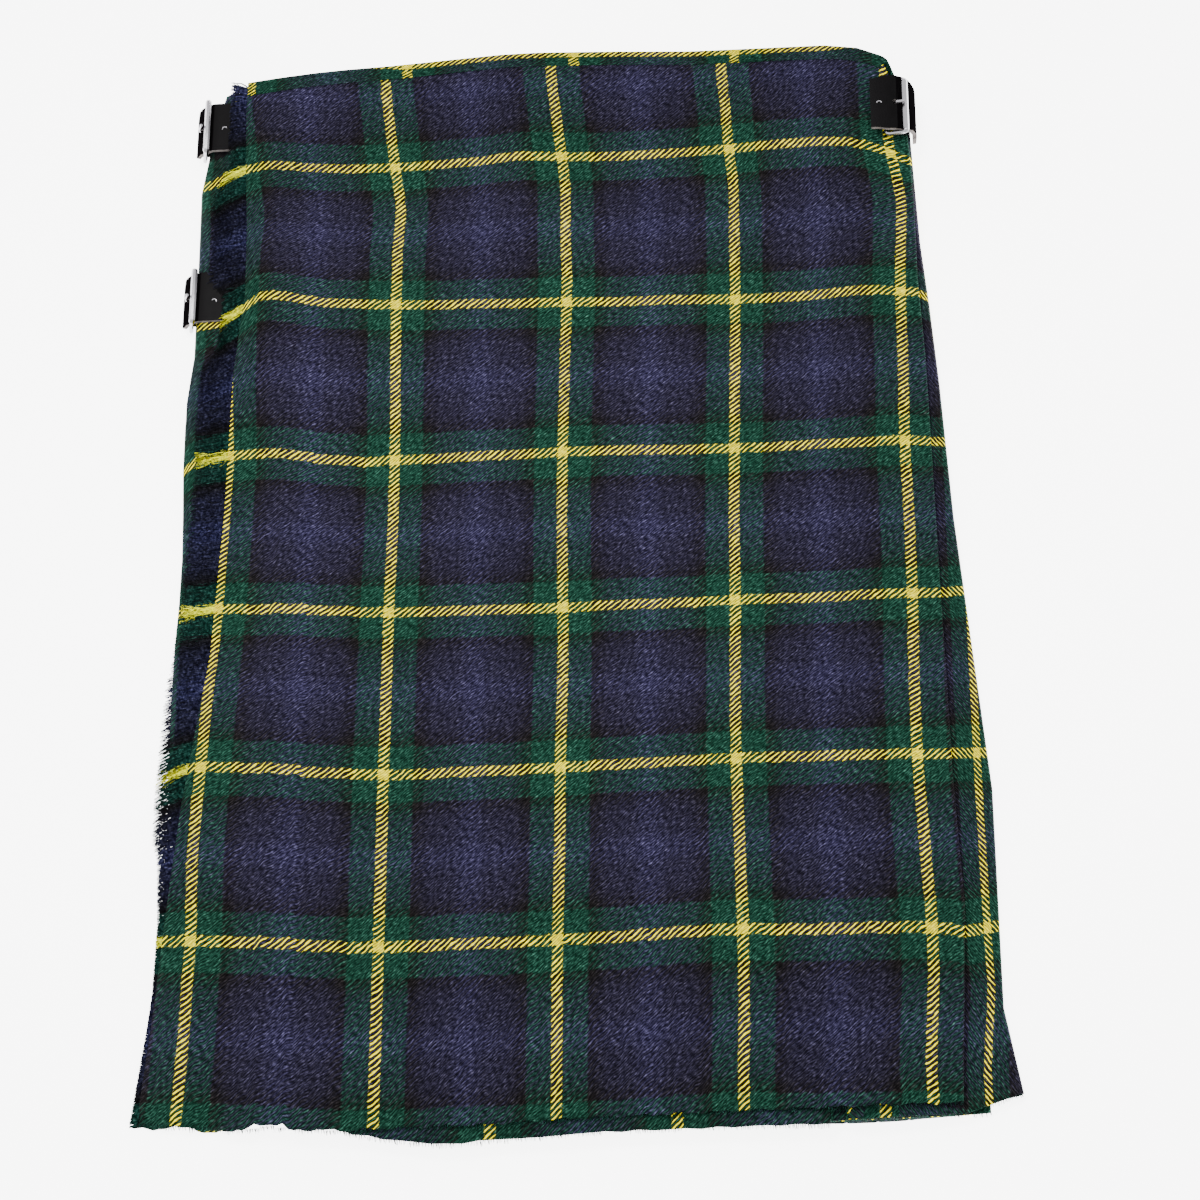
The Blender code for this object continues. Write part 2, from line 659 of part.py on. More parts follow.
def build_buckle(groups, strap, strap_line, widths, outer, heel, chape_line, prong_line, shift):
    kilt, cutters = groups
    name = "strap_" + strap.name
    leather = keep(kilt, name, leather_wall(name, strap_line, strap.y, widths, LEATHER), BLACK_LEATHER)
    cut_prong_hole(cutters, leather, prong_line[:2], strap.y)
    thick = OUTER_BAR_WIRE / BUCKLE_WIRE
    swells = (1.0, 1.0, thick, thick, thick, thick, 1.0, 1.0)
    bar = frame_line(outer, heel, strap.y - shift)
    frame = wire("buckle_" + strap.name, bar, BUCKLE_WIRE, True, swells)
    keep(kilt, "buckle_" + strap.name, frame, STEEL)
    chape_widths = [STRAP_WIDTH - 6.0] * len(chape_line)
    chape = leather_wall("chape_" + strap.name, chape_line, strap.y, chape_widths, CHAPE_LEATHER)
    keep(kilt, "chape_" + strap.name, chape, BLACK_LEATHER)
    prong = wire("prong_" + strap.name, [(x, strap.y, z) for x, z in prong_line], PRONG_WIRE, False)
    keep(kilt, "prong_" + strap.name, prong, STEEL)


def chape_round(heel, turns, reach):
    """Points of the leather that wraps the heel bar, from one turn in degrees to another."""
    return [(heel[0] + reach * math.cos(t), heel[1] + reach * math.sin(t)) for t in np.radians(turns)]


def build_left_buckle(groups, strap):
    """The strap comes out from under the apron, passes the outer bar and turns down round the side."""
    b = strap.bar_x
    top = strap.y + STRAP_WIDTH / 2.0
    spots = [(x, down_at(x, y)) for x in (b + 8.0, b + 14.0, strap.inner_x) for y in (top, strap.y)]
    on_band = SEAM_GAP + BAND_WALL if down_at(b, top) < BAND_DEPTH else 0.0
    z = max(lower_layer(x, down) for x, down in spots) + UNDER_WALL + on_band + SEAM_GAP + LEATHER / 2.0
    strap_line = [
        (strap.inner_x, z), (b + 9.0, z), (b + 3.5, z - 0.2), (b - 0.5, z - 1.9), (b - 3.8, z - 4.8),
        (b - 6.0, z - 8.0), (b - 7.2, z - 11.6),
    ]
    widths = [STRAP_WIDTH] * 6 + [STRAP_WIDTH - 5.0]
    outer = (b, z + OUTER_BAR_RISE)
    heel = (b - 2.6, z - 9.6)
    reach = BUCKLE_WIRE + SEAM_GAP + CHAPE_LEATHER / 2.0
    chape = [(heel[0] + 2.6, heel[1] + reach)]
    chape += chape_round(heel, (90.0, 135.0, 180.0, 225.0, 270.0), reach)
    chape.append((heel[0] + 2.6, heel[1] - reach))
    prong = [(b - 1.4, z - 6.0), (b - 4.8, z - 3.4), (b - 4.8, z - 0.6), (b - 3.2, z + 3.4)]
    build_buckle(groups, strap, strap_line, widths, outer, heel, chape, prong, 0.0)


def build_right_buckle(groups, strap):
    """The strap comes up round the side, under the outer bar, and lies over the heel bar on the front."""
    b = strap.bar_x
    heel_x = b - BUCKLE_SPAN
    edge_low = strap.y - STRAP_WIDTH / 2.0
    edge_high = strap.y + STRAP_WIDTH / 2.0

    def front(x):
        return APRON_WALL + max(over_floor(x, down_at(x, y)) for y in np.linspace(edge_low, edge_high, 9))

    t = max(front(heel_x + step) for step in (3.0, 0.0, -4.0, -9.0)) + 0.2
    reach = BUCKLE_WIRE + SEAM_GAP + CHAPE_LEATHER / 2.0
    heel = (heel_x, t + SEAM_GAP + CHAPE_LEATHER + SEAM_GAP + BUCKLE_WIRE)
    chape = [(heel_x - 6.6, heel[1] - reach)]
    chape += chape_round(heel, (-90.0, -45.0, 0.0, 45.0, 90.0), reach)
    chape.append((heel_x - 3.5, heel[1] + reach))
    z = heel[1] + reach + CHAPE_LEATHER / 2.0 + SEAM_GAP + LEATHER / 2.0
    low = front(b - 2.0) + SEAM_GAP + LEATHER / 2.0 + 0.3
    strap_line = [
        (strap.inner_x, z - 0.8), (strap.inner_x + 3.5, z - 0.1), (heel_x + 0.6, z), (heel_x + 3.4, z - 0.8),
        (heel_x + 5.6, (z + low) / 2.0), (heel_x + 8.4, low + 0.2), (b + 0.4, low - 0.2),
        (b + 3.0, low - 2.0), (b + 4.6, low - 5.2), (b + 5.2, low - 9.5), (b + 5.0, 1.8),
    ]
    widths = [STRAP_WIDTH - less for less in (0.0, 0.0, 0.0, 2.1, 2.1, 3.0, 3.0, 2.5, 1.5, 1.5, 1.5)]
    outer = (b, low + LEATHER / 2.0 + SEAM_GAP + OUTER_BAR_WIRE + 0.2)
    over_bar = outer[1] + OUTER_BAR_WIRE + PRONG_WIRE + SEAM_GAP
    prong = [(heel_x + 3.2, low + 1.7), (heel_x + 6.4, over_bar - 0.6)]
    prong.append((b - 0.4, over_bar))
    build_buckle(groups, strap, strap_line, widths, outer, heel, chape, prong, RIGHT_BUCKLE_SHIFT)


def build_cloth(group):
    back = folded_wall("pleated_back", pleat_section, BACK_HEM, PLEAT_WALL, PLEAT_ROWS, pleat_starts())
    keep(group, "pleated_back", back, TARTAN)
    plain = [0.0] * len(under_section(LENGTH))
    under = folded_wall("under_apron", under_section, UNDER_HEM, UNDER_WALL, UNDER_ROWS, plain)
    keep(group, "under_apron", under, TARTAN)
    over = folded_wall("over_apron", over_section, OVER_HEM, APRON_WALL, OVER_ROWS, over_starts())
    keep(group, "over_apron", over, TARTAN)


def build_waistband(group):
    stretches = (
        ("waistband_front", band_front_stations),
        ("waistband_under", band_under_stations),
        ("waistband_back", band_back_stations),
    )
    for name, stations in stretches:
        keep(group, name, band_wall(name, stations), TARTAN)


def main():
    clear_scene()
    kilt = collection("scottish_kilt")
    cutters = collection("cutters")
    build_cloth(kilt)
    build_fringe(kilt)
    build_waistband(kilt)
    for strap in LEFT_STRAPS:
        build_left_buckle((kilt, cutters), strap)
    build_right_buckle((kilt, cutters), RIGHT_STRAP)


main()
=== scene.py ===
"""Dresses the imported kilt: woven tartan, fringe, leather straps and plated buckles, laid flat, front up.

Places and sizes of the cloth and trim are in mm, times MM where a mesh is made. Camera, lamp, floor and
material depths are in metres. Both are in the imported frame: +X to the wearer's left, +Y to the waist.
"""
from collections import namedtuple
import math

import bmesh
import bpy
import numpy as np
from mathutils import Matrix, Vector
from mathutils.bvhtree import BVHTree


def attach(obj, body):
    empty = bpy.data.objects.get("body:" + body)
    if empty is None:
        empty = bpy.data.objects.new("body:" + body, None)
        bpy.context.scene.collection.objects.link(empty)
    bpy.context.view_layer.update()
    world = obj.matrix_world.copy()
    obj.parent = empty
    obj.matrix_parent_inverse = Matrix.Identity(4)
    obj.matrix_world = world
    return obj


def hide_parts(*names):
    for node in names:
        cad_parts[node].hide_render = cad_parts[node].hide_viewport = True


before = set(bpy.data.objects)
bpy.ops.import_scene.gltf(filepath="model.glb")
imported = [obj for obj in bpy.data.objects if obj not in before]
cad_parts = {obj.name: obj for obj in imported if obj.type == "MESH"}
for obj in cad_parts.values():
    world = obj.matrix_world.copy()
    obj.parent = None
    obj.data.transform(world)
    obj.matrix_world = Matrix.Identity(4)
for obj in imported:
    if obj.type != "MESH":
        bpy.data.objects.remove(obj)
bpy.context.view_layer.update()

bl_info = {
    "name": "Scottish kilt",
    "version": (1, 0, 0),
    "blender": (4, 5, 0),
    "location": "View3D > Sidebar > Kilt",
    "description": "Looks of a tartan kilt laid flat",
    "category": "Object",
}

MM = 0.001
BODY = "root"

# The sett, and how far apart the lines across would lie past the lowest one, on the front and under it
SETT = 93.0
HEM_SETT = 100.6
UNDER_HEM_SETT = 109.0

# The twill: its threads in a sett, and the threads that its floats go over and under before they repeat
WARP_THREADS = 104
WEFT_THREADS = 126
TWILL_REPEAT = 4

# How far its strokes waver, in threads, and how fine its flecks are across the strokes and along them
WAVER = 1.1
STROKE_GRAIN = 0.7
RUN_GRAIN = 0.22

# How fully the upper thread hides the other, how rounded a stroke looks and how light it is between
# strokes, where the warp and the weft are alike and where they are far apart
Stroke = namedtuple("Stroke", "cover roundness valley")
ALIKE = Stroke(0.6, 0.9, 0.3)
APART = Stroke(1.02, 2.4, 0.03)

# Light on top of a stroke, on plain cloth and where two yellow lines cross
PLAIN_TOP = 1.4
YELLOW_TOP = 0.85

# Flecks of the wool, partly its own random tone and partly painted highlights of lit fibres: their
# strength on dark cloth and on yellow, how much the light ones pale as painted glints do, and their mean
# tone
FLECKS = 9.0
YELLOW_FLECKS = 1.08
GLINT_PALING = 0.8
FLECK_TONE = 0.84

# Noise of the wool for each metre: its fuzz, its slow drift of tone and the flecks of loose threads
FUZZ_SCALE = 900.0
DRIFT_SCALE = 30.0
LOOSE_SCALE = 700.0

# How far fuzz moves the edges of the bands, in setts, how much of it is in the weave's relief, and how
# much the tone drifts
STRAY = 0.014
FUZZ_SHARE = 1.2
DRIFT = 0.16

# Depth of the relief in metres, of the twill and of loose threads
TWILL_DEPTH = 0.00022
LOOSE_DEPTH = 0.0003

# Loose threads' tint, and how dark and how light single ones are
LOOSE_TINT = (0.8, 0.95, 1.15, 1.0)
LOOSE_DARK = 0.25
LOOSE_LIGHT = 1.4

# Shine of the wool off its yellow lines
WOOL_ROUGHNESS = 0.95
WOOL_GLOSS = 0.03
WOOL_SHEEN = 0.012
SHEEN_ROUGHNESS = 0.6

# Leather: noise for each metre of its grain and of its paler patches, which are partly wear and partly
# painted sheen, how much paler these are, its relief and its gloss
GRAIN_SCALE = 1400.0
WEAR_AND_SHEEN_SCALE = 220.0
RUBBED_AND_SHEEN_PALING = 2.2
GRAIN_DEPTH = 0.00012
GRAIN_STRENGTH = 0.7
LEATHER_GLOSS = 0.04

# How squarely a face of the leather must look along Y to be a cut edge, paler partly as cut leather and
# partly as a painted glint, and up to have a gloss
EDGE_FACING = 0.8
TOP_FACING = 0.93

BRUSHED_SCALE = 300.0

# The camera: where it stands, its right, up and back directions, and its lens on a 36 mm sensor
EYE = Vector((0.1316, -0.6321, 1.4896))
RIGHT = Vector((0.9972, 0.0009, -0.0746))
UP = Vector((0.0274, 0.9258, 0.3770))
BACK = Vector((0.0694, -0.3780, 0.9232))
LENS = 90.81
SENSOR = 36.0

# Where the soft lamp stands, the place on the kilt that it points at, its size and its cone in degrees
LAMP = Vector((-0.7, 0.7, 2.0))
LIT = Vector((-0.02, 0.0, 0.0))
LAMP_SIZE = 0.35
LAMP_CONE = 31.0

FLOOR_SIZE = 12.0
FLOOR_DROP = 0.0004

# Height of the level, in mm, on which the places of the yellow lines are stated
LEVEL = 12.0

# Where the five yellow lines of the front that run from waist to hem lie along X, at places along Y
Warp = namedtuple("Warp", "y first second third fourth fifth")
WARP_LINES = (
    Warp(-304, -192, -92, -1, 92, 185.5), Warp(-280, -191, -92, -1, 92, 184.5),
    Warp(-254, -190, -92, -1, 93, 186.5), Warp(-232, -190, -92, -1, 93, 188),
    Warp(-209, -189, -92, -1, 93, 188), Warp(-164, -191, -92, 0, 92, 186),
    Warp(-119, -189, -92, 0, 91, 184), Warp(-74, -187, -92, 1, 91, 184),
    Warp(-29, -184, -92, 1, 92, 185), Warp(15, -183, -91, 0, 92, 185), Warp(59, -182, -91, 0, 93, 184),
    Warp(106, -185, -92, 1, 94, 185), Warp(151, -186, -93, 2, 95, 185),
    Warp(171, -186, -93, 2, 95, 186), Warp(191, -186, -93, 1, 95, 187),
    Warp(211, -184, -91, 1, 95, 188), Warp(225, -186, -93, 1, 95, 185),
    Warp(240, -189, -96, -1, 93, 182), Warp(256, -191, -98, -3, 92, 181),
    Warp(272, -193, -100, -5, 91, 181), Warp(294, -196, -103, -8, 89, 181),
)

# Where the six yellow lines that run across the front lie along Y, at places along X
Weft = namedtuple("Weft", "x first second third fourth fifth sixth")
WEFT_LINES = (
    Weft(-215, 230, 143, 51, -28, -122, -209), Weft(-204, 231, 143, 54, -28, -119, -209),
    Weft(-196, 234, 144, 64, -27, -116, -209), Weft(-188, 240, 146, 64, -26, -115, -209),
    Weft(-178, 243, 154, 64, -26, -115, -209), Weft(-170, 245, 163, 64, -27, -116, -210),
    Weft(-160, 244, 162, 65, -27, -116, -210), Weft(-147, 242, 159, 63, -27, -117, -211),
    Weft(-133, 241, 156, 60, -28, -119, -212), Weft(-121, 240, 155, 59, -29, -120, -213),
    Weft(-107, 240, 154, 57, -30, -121, -214), Weft(-92, 240, 153, 58, -31, -122, -214),
    Weft(-70, 241, 152, 58, -31, -122, -214), Weft(-49, 242, 152, 59, -31, -121, -213),
    Weft(-26, 245, 151, 59, -31, -121, -213), Weft(0, 243, 151, 60, -31, -120, -212),
    Weft(30, 242, 150, 60, -30, -119, -211), Weft(64, 243, 150, 59, -30, -118, -209),
    Weft(92, 244, 149, 59, -29, -117, -208), Weft(116, 246, 149, 59, -29, -117, -209),
    Weft(141, 247, 150, 60, -29, -117, -209), Weft(162, 246, 152, 60, -28, -117, -209),
    Weft(170, 243, 152, 60, -28, -117, -209), Weft(184, 237, 151, 61, -28, -117, -209),
    Weft(194, 231, 150, 60, -28, -118, -210), Weft(203, 231, 144, 59, -28, -117, -212),
    Weft(212, 231, 144, 58, -27, -117, -208), Weft(222, 231, 144, 58, -27, -118, -209),
)

# The over apron's free edge and its fold at distances down from the waist
Edge = namedtuple("Edge", "down free fold")
EDGES = (
    Edge(0, -181, 180), Edge(15, -181, 186.5), Edge(32, -180.5, 191.5), Edge(60, -179.5, 193.6),
    Edge(93, -178, 194.8), Edge(135, -177, 195), Edge(186, -182, 197.5), Edge(269, -184, 199),
    Edge(352, -188, 200.5), Edge(435, -199, 202), Edge(507, -205, 205), Edge(559, -209, 202.5),
    Edge(612, -214, 200),
)

# The cloth's length from waist to hem, and what the laid kilt measures of it along Y
LENGTH = 612.0
LAID_LENGTH = 608.0

# The waist and the over apron's hem, as distance along X and place along Y
Place = namedtuple("Place", "x y")
WAIST = (
    Place(-206, 287), Place(-184, 292), Place(-152, 296.5), Place(-128, 297), Place(-95, 298.6),
    Place(-60, 301.3), Place(-25, 303.8), Place(26, 302.3), Place(70, 300.3), Place(129, 300.6),
    Place(160, 301.8), Place(170, 300.5), Place(179, 297), Place(188, 292), Place(200, 287),
)
HEM = (
    Place(-216, -302.5), Place(-206, -303.5), Place(-183, -303.9), Place(-180, -306.2),
    Place(-157, -306.2), Place(-153, -304.2), Place(-138, -304.2), Place(-135, -307.3),
    Place(-104, -308), Place(-96, -307.5), Place(-34, -306), Place(1, -304), Place(92, -301),
    Place(188, -299), Place(203, -298),
)

# Creases of the front: from one end to the other, how wide, and how high, or deep where below 0
Crease = namedtuple("Crease", "x0 y0 x1 y1 width height")
CREASES = (
    Crease(-150, 105, -163, -110, 3.5, -0.9),
    Crease(-163, -110, -174, -300, 4.0, -0.8),
    Crease(-176, 172, -140, 158, 7.0, 1.0),
    Crease(-172, 140, -128, 146, 6.0, -0.7),
    Crease(-168, 232, -112, 226, 6.0, -0.6),
    Crease(-170, 256, -120, 250, 7.0, 0.6),
    Crease(-176, 78, -134, 66, 6.0, 0.6),
    Crease(-172, 50, -140, 58, 5.0, -0.5),
    Crease(180, 252, 150, 262, 6.0, 0.6),
    Crease(186, 236, 152, 244, 6.0, -0.6),
    Crease(-94, 226, -90, 190, 5.0, 0.5),
    Crease(176, 120, 170, -60, 5.0, 0.4),
    Crease(160, -70, 172, -230, 6.0, -0.5),
    Crease(40, -230, 52, -296, 9.0, 0.5),
    Crease(-60, -210, -66, -296, 9.0, -0.4),
    Crease(120, 40, 108, -150, 10.0, 0.4),
    Crease(-30, 110, -40, -60, 11.0, 0.4),
    Crease(162, 300, 164, 222, 1.8, -1.3),
)

# How far a crease wanders off its line, over what length, and the part of it at each end where it fades
WANDER = 1.5
WANDER_LENGTH = 17.0
CREASE_END = 0.3

# The front's sheet: the width that its grid is counted for, its wall, and how low its upper face may lie
FRONT_WIDTH = 400.0
FRONT_WALL = 0.9
FRONT_LOW = 1.0

# How far inside its solid's edges, and inside its fold, the heights are read
INSET = 0.8
FOLD_INSET = 2.2

# Distance from the waist and from the fold in which the creases come up
CALM = 14.0

# Rounds of averaging of the heights and of the cloth's places
SOFT_HEIGHT = 5
SOFT_ACROSS = 14
SOFT_DOWN = 5

# The front's fold and the leaf that is turned under: a half circle, then a flat run
FOLD_RADIUS = 1.7
FOLD_STEPS = 6
LEAF_STEP = 5.0
LEAF_STEPS = 6

# The small unevenness of a hem, as waves along X
Wave = namedtuple("Wave", "height length start")
HEM_WAVES = (Wave(0.4, 1.3, 0.0), Wave(0.45, 3.1, 1.0))

# Angles of the CAD meshes, in degrees: between triangles that join, and of edges that stay sharp
FLAT_ANGLE = 12.0
SHAPE_ANGLE = 60.0
SHARP_ANGLE = 38.0

# The fringe's length at distances down from the waist, and its droop to the hem as a part of that
Fringe = namedtuple("Fringe", "down length droop")
FRINGE = (
    Fringe(15, 9, 0.0), Fringe(48, 10, 0.3), Fringe(62, 19, 0.45), Fringe(116, 20, 0.3),
    Fringe(128, 12, 0.5), Fringe(158, 12, 0.75), Fringe(168, 19, 0.6), Fringe(200, 19, 0.3),
    Fringe(238, 17, 0.1), Fringe(290, 18, 0.1), Fringe(345, 20, 0.15), Fringe(366, 21, 0.2),
    Fringe(412, 17, 0.35), Fringe(447, 13, 0.45), Fringe(466, 8, 0.3), Fringe(503, 3, 0.2),
    Fringe(540, 1, 0.1), Fringe(575, 2, 0.1), Fringe(612, 3, 0.1),
)

# How much farther out than its solid the under apron's fold lies, at distances down from the waist
Ease = namedtuple("Ease", "down out")
UNDER_EASE = (
    Ease(30, 1.0), Ease(57, 2.5), Ease(88, 1.0), Ease(165, 0.0), Ease(188, 3.0), Ease(240, 2.8),
    Ease(267, 1.0), Ease(296, 0.0), Ease(338, 1.2), Ease(380, 2.5), Ease(430, 2.0), Ease(460, 0.0),
)

# Colours from the middle of a yellow line to the middle of a blue square, at parts of the sett, with how
# much of the blue is in each place
Band = namedtuple("Band", "at colour blue")
BANDS = (
    Band(0.0, "yellow", 0.0), Band(0.027, "yellow", 0.0), Band(0.031, "green", 0.0),
    Band(0.163, "green", 0.0), Band(0.171, "black", 0.0), Band(0.205, "black", 0.05),
    Band(0.240, "black", 0.25), Band(0.290, "black", 0.5), Band(0.320, "black", 0.4),
    Band(0.355, "black", 0.6), Band(0.390, "black", 0.5), Band(0.430, "black", 0.75),
    Band(0.460, "black", 1.0), Band(0.5, "black", 1.1),
)

STRAPS = ("left_upper", "left_lower", "right")

# The right strap's worn leather swells over the buckle's sides: how much wider and higher it is along X
Wrap = namedtuple("Wrap", "x wider higher")
WRAP = (
    Wrap(172.5, 1.02, 0.0), Wrap(176, 1.05, 0.0), Wrap(181.4, 1.115, 0.0), Wrap(184.2, 1.197, 0.5),
    Wrap(186.4, 1.197, 1.8), Wrap(189.2, 1.236, 3.4), Wrap(192.2, 1.207, 2.6), Wrap(194.8, 1.129, 1.5),
    Wrap(196.4, 1.034, 0.6), Wrap(197.5, 1.0, 0.0),
)
WRAP_Y = 263.6

# Strap holes with a painted highlight, where a bright arc of metal on the rim stands in for the glint,
# with the arc of the rim that shows, in degrees
Hole = namedtuple("Hole", "strap x y start end")
HOLES = (
    Hole("left_upper", -193.7, 267.3, 20, 200), Hole("left_lower", -194.6, 157.8, -30, 160),
    Hole("right", 177.3, 262.8, 5, 175),
)
HOLE_RADIUS = 1.3
HOLE_STEPS = 8
RIM_WIRE = 0.36
RIM_SIDES = 4
RIM_LIFT = 0.1
STRAP_BEVEL = 0.35

# A loose thread: the turns of its three sides, how flat it is along X and Z, and how much it tapers
THREAD_TURNS = (0.0, 2.1, 4.2)
THREAD_FLAT = (0.5, 0.8)
TAPER = 0.6

# Fringe threads: steps along each, how far their roots are in from the edge and down in it, what the
# edge hides of them, their width, and the part of the fringe's length that single threads have
THREAD_STEPS = 5
ROOT_INSET = 0.6
ROOT_DEPTH = 0.5
THREAD_HIDDEN = 1.5
THREAD_WIDTH = (0.35, 0.6)
THREAD_SHARE = (0.75, 1.05)

# Their spread in droop and curl, how curly they are, how high they stand, and how they sink
DROOP_SPREAD = 0.09
CURL_SPREAD = 0.8
CURL = 0.07
CURL_TURN = 5.0
STAND = 0.9
SINK = 0.25

# Nearer the waist than a distance, threads sway up to it by a part of their length
WAIST_NEAR = 14.0
WAIST_SWAY = 0.5

# Gap between a fringe thread and what it lies on
THREAD_GAP = 0.35

# Short ends in the hems: their step along X, and their jitter, length, width and depth in the cloth
FRAY_STEP = 0.55
FRAY_JITTER = 0.3
FRAY_LENGTH = (1.2, 2.6)
FRAY_WIDTH = (0.25, 0.5)
FRAY_DEPTH = (0.3, 1.2)
FRAY_SWAY = 0.5
FRAY_LOW = 0.4
FRAY_SINK = 0.3

# Their place along the sett, in its green, and the strongest of their tones
FRAY_BAND = 0.1
FRAY_TONE = 0.9

# The hem is searched for from one place along Y to another
HEM_FROM = -285.0
HEM_TO = -320.0


class KiltCloth(bpy.types.PropertyGroup):
    green: bpy.props.FloatVectorProperty(
        name="Green", description="Green of the wool", subtype="COLOR", size=3,
        default=(0.0053, 0.0300, 0.0188),
    )
    blue: bpy.props.FloatVectorProperty(
        name="Blue", description="Blue of the wool", subtype="COLOR", size=3,
        default=(0.0192, 0.0166, 0.0410),
    )
    black: bpy.props.FloatVectorProperty(
        name="Black", description="Black of the wool", subtype="COLOR", size=3,
        default=(0.0062, 0.0052, 0.0050),
    )
    yellow: bpy.props.FloatVectorProperty(
        name="Yellow", description="Yellow of the lines", subtype="COLOR", size=3,
        default=(0.98, 0.83, 0.0),
    )
    grid: bpy.props.FloatProperty(
        name="Front mesh step", description="Distance between the points of the front", subtype="DISTANCE",
        unit="LENGTH", default=0.0028,
    )
    strands: bpy.props.IntProperty(
        name="Fringe threads", description="How many loose threads the fringe has",
        default=6000, min=200,
    )


class KiltTrim(bpy.types.PropertyGroup):
    leather: bpy.props.FloatVectorProperty(
        name="Leather", description="Colour of the straps", subtype="COLOR", size=3,
        default=(0.0013, 0.0011, 0.0013),
    )
    cut_edge_and_glint: bpy.props.FloatVectorProperty(
        name="Cut edge and glint", description="Colour of the leather's cut edges and their painted glint", subtype="COLOR", size=3,
        default=(0.30, 0.27, 0.26),
    )
    metal: bpy.props.FloatVectorProperty(
        name="Metal", description="Colour of the buckles", subtype="COLOR", size=3,
        default=(0.36, 0.35, 0.37),
    )


class KiltStage(bpy.types.PropertyGroup):
    floor: bpy.props.FloatVectorProperty(
        name="Floor", description="Colour of the surface under the kilt", subtype="COLOR", size=3,
        default=(0.9, 0.9, 0.9),
    )
    glow: bpy.props.FloatProperty(
        name="Floor glow", description="Light that the floor gives off", default=6.0, min=0.0,
    )
    sky: bpy.props.FloatProperty(
        name="Surround", description="Strength of the light all round", default=1.75, min=0.0,
    )
    lamp: bpy.props.FloatProperty(
        name="Lamp", description="Power of the soft lamp", unit="POWER", default=245.0,
    )


class Nodes:
    """Adds shader nodes to a material and hands back their outputs."""

    def __init__(self, name):
        self.material = bpy.data.materials.new(name)
        self.material.use_nodes = True
        self.tree = self.material.node_tree
        self.shader = self.tree.nodes["Principled BSDF"]

    def add(self, kind, **settings):
        node = self.tree.nodes.new(kind)
        for key, value in settings.items():
            setattr(node, key, value)
        return node

    def put(self, socket, value):
        """Links an output to a socket, or sets the socket's value."""
        if isinstance(value, bpy.types.NodeSocket):
            self.tree.links.new(value, socket)
        else:
            socket.default_value = value

    def math(self, operation, *values):
        node = self.add("ShaderNodeMath", operation=operation)
        for socket, value in zip(node.inputs, values):
            self.put(socket, value)
        return node.outputs[0]

    def mix(self, share, first, second, blend="MIX"):
        node = self.add("ShaderNodeMix", data_type="RGBA", blend_type=blend)
        for index, value in ((0, share), (6, first), (7, second)):
            self.put(node.inputs[index], value)
        return node.outputs[2]

    def red(self, colour):
        """The red of a colour, which is high on the yellow lines alone."""
        split = self.add("ShaderNodeSeparateColor")
        self.put(split.inputs[0], colour)
        return split.outputs[0]

    def noise(self, scale, detail, vector=None):
        node = self.add("ShaderNodeTexNoise")
        node.inputs["Scale"].default_value = scale
        node.inputs["Detail"].default_value = detail
        self.put(node.inputs["Vector"], vector or self.add("ShaderNodeTexCoord").outputs["Object"])
        return node.outputs["Fac"]

    def between(self, value, low, high):
        """Rescales 0 to 1 into low to high."""
        return self.math("MULTIPLY_ADD", value, high - low, low)

    def bump(self, height, distance, strength=1.0):
        node = self.add("ShaderNodeBump")
        node.inputs["Distance"].default_value = distance
        node.inputs["Strength"].default_value = strength
        self.put(node.inputs["Height"], height)
        return node.outputs["Normal"]


def thread_colours(nodes, place, cloth):
    """Colour of the threads at a place across the sett, where whole numbers are the yellow lines."""
    chart = nodes.add("ShaderNodeValToRGB")
    stops = chart.color_ramp.elements
    while len(stops) > 1:
        stops.remove(stops[-1])
    for index, band in enumerate(BANDS):
        stop = stops[0] if index == 0 else stops.new(2.0 * band.at)
        stop.position = 2.0 * band.at
        plain = Vector(getattr(cloth, band.colour))
        stop.color = (*plain.lerp(Vector(cloth.blue), band.blue), 1.0)
    away = nodes.math("MULTIPLY", nodes.math("PINGPONG", place, 0.5), 2.0)
    nodes.put(chart.inputs["Fac"], away)
    return chart.outputs["Color"]


def tinted(nodes, colour, value):
    """Multiplies a colour by a number."""
    tone = nodes.add("ShaderNodeCombineColor")
    for socket in tone.inputs[:3]:
        nodes.put(socket, value)
    return nodes.mix(1.0, colour, tone.outputs[0], "MULTIPLY")


def flecks_and_fibre_glints(nodes, colour, grain):
    """Wool's dark flecks and light ones, partly its own tone and partly painted highlights of lit fibres,
    which pale where bright; all are weaker on the bright yellow.
    """
    red = nodes.red(colour)
    strength = nodes.between(red, FLECKS, YELLOW_FLECKS)
    power = nodes.math("MULTIPLY", nodes.math("SUBTRACT", grain, 0.5), strength)
    faded = nodes.add("ShaderNodeHueSaturation")
    nodes.put(faded.inputs["Color"], colour)
    # Painted highlights: the light flecks lose colour, as glints on lit fibres do
    paling = nodes.between(red, GLINT_PALING, 0.0)
    fade = nodes.math("MULTIPLY", nodes.math("SUBTRACT", 0.5, grain), paling)
    nodes.put(faded.inputs["Saturation"], nodes.math("ADD", fade, 1.0))
    tone = nodes.math("MULTIPLY", nodes.math("POWER", 2.0, power), FLECK_TONE)
    return tinted(nodes, faded.outputs["Color"], tone)


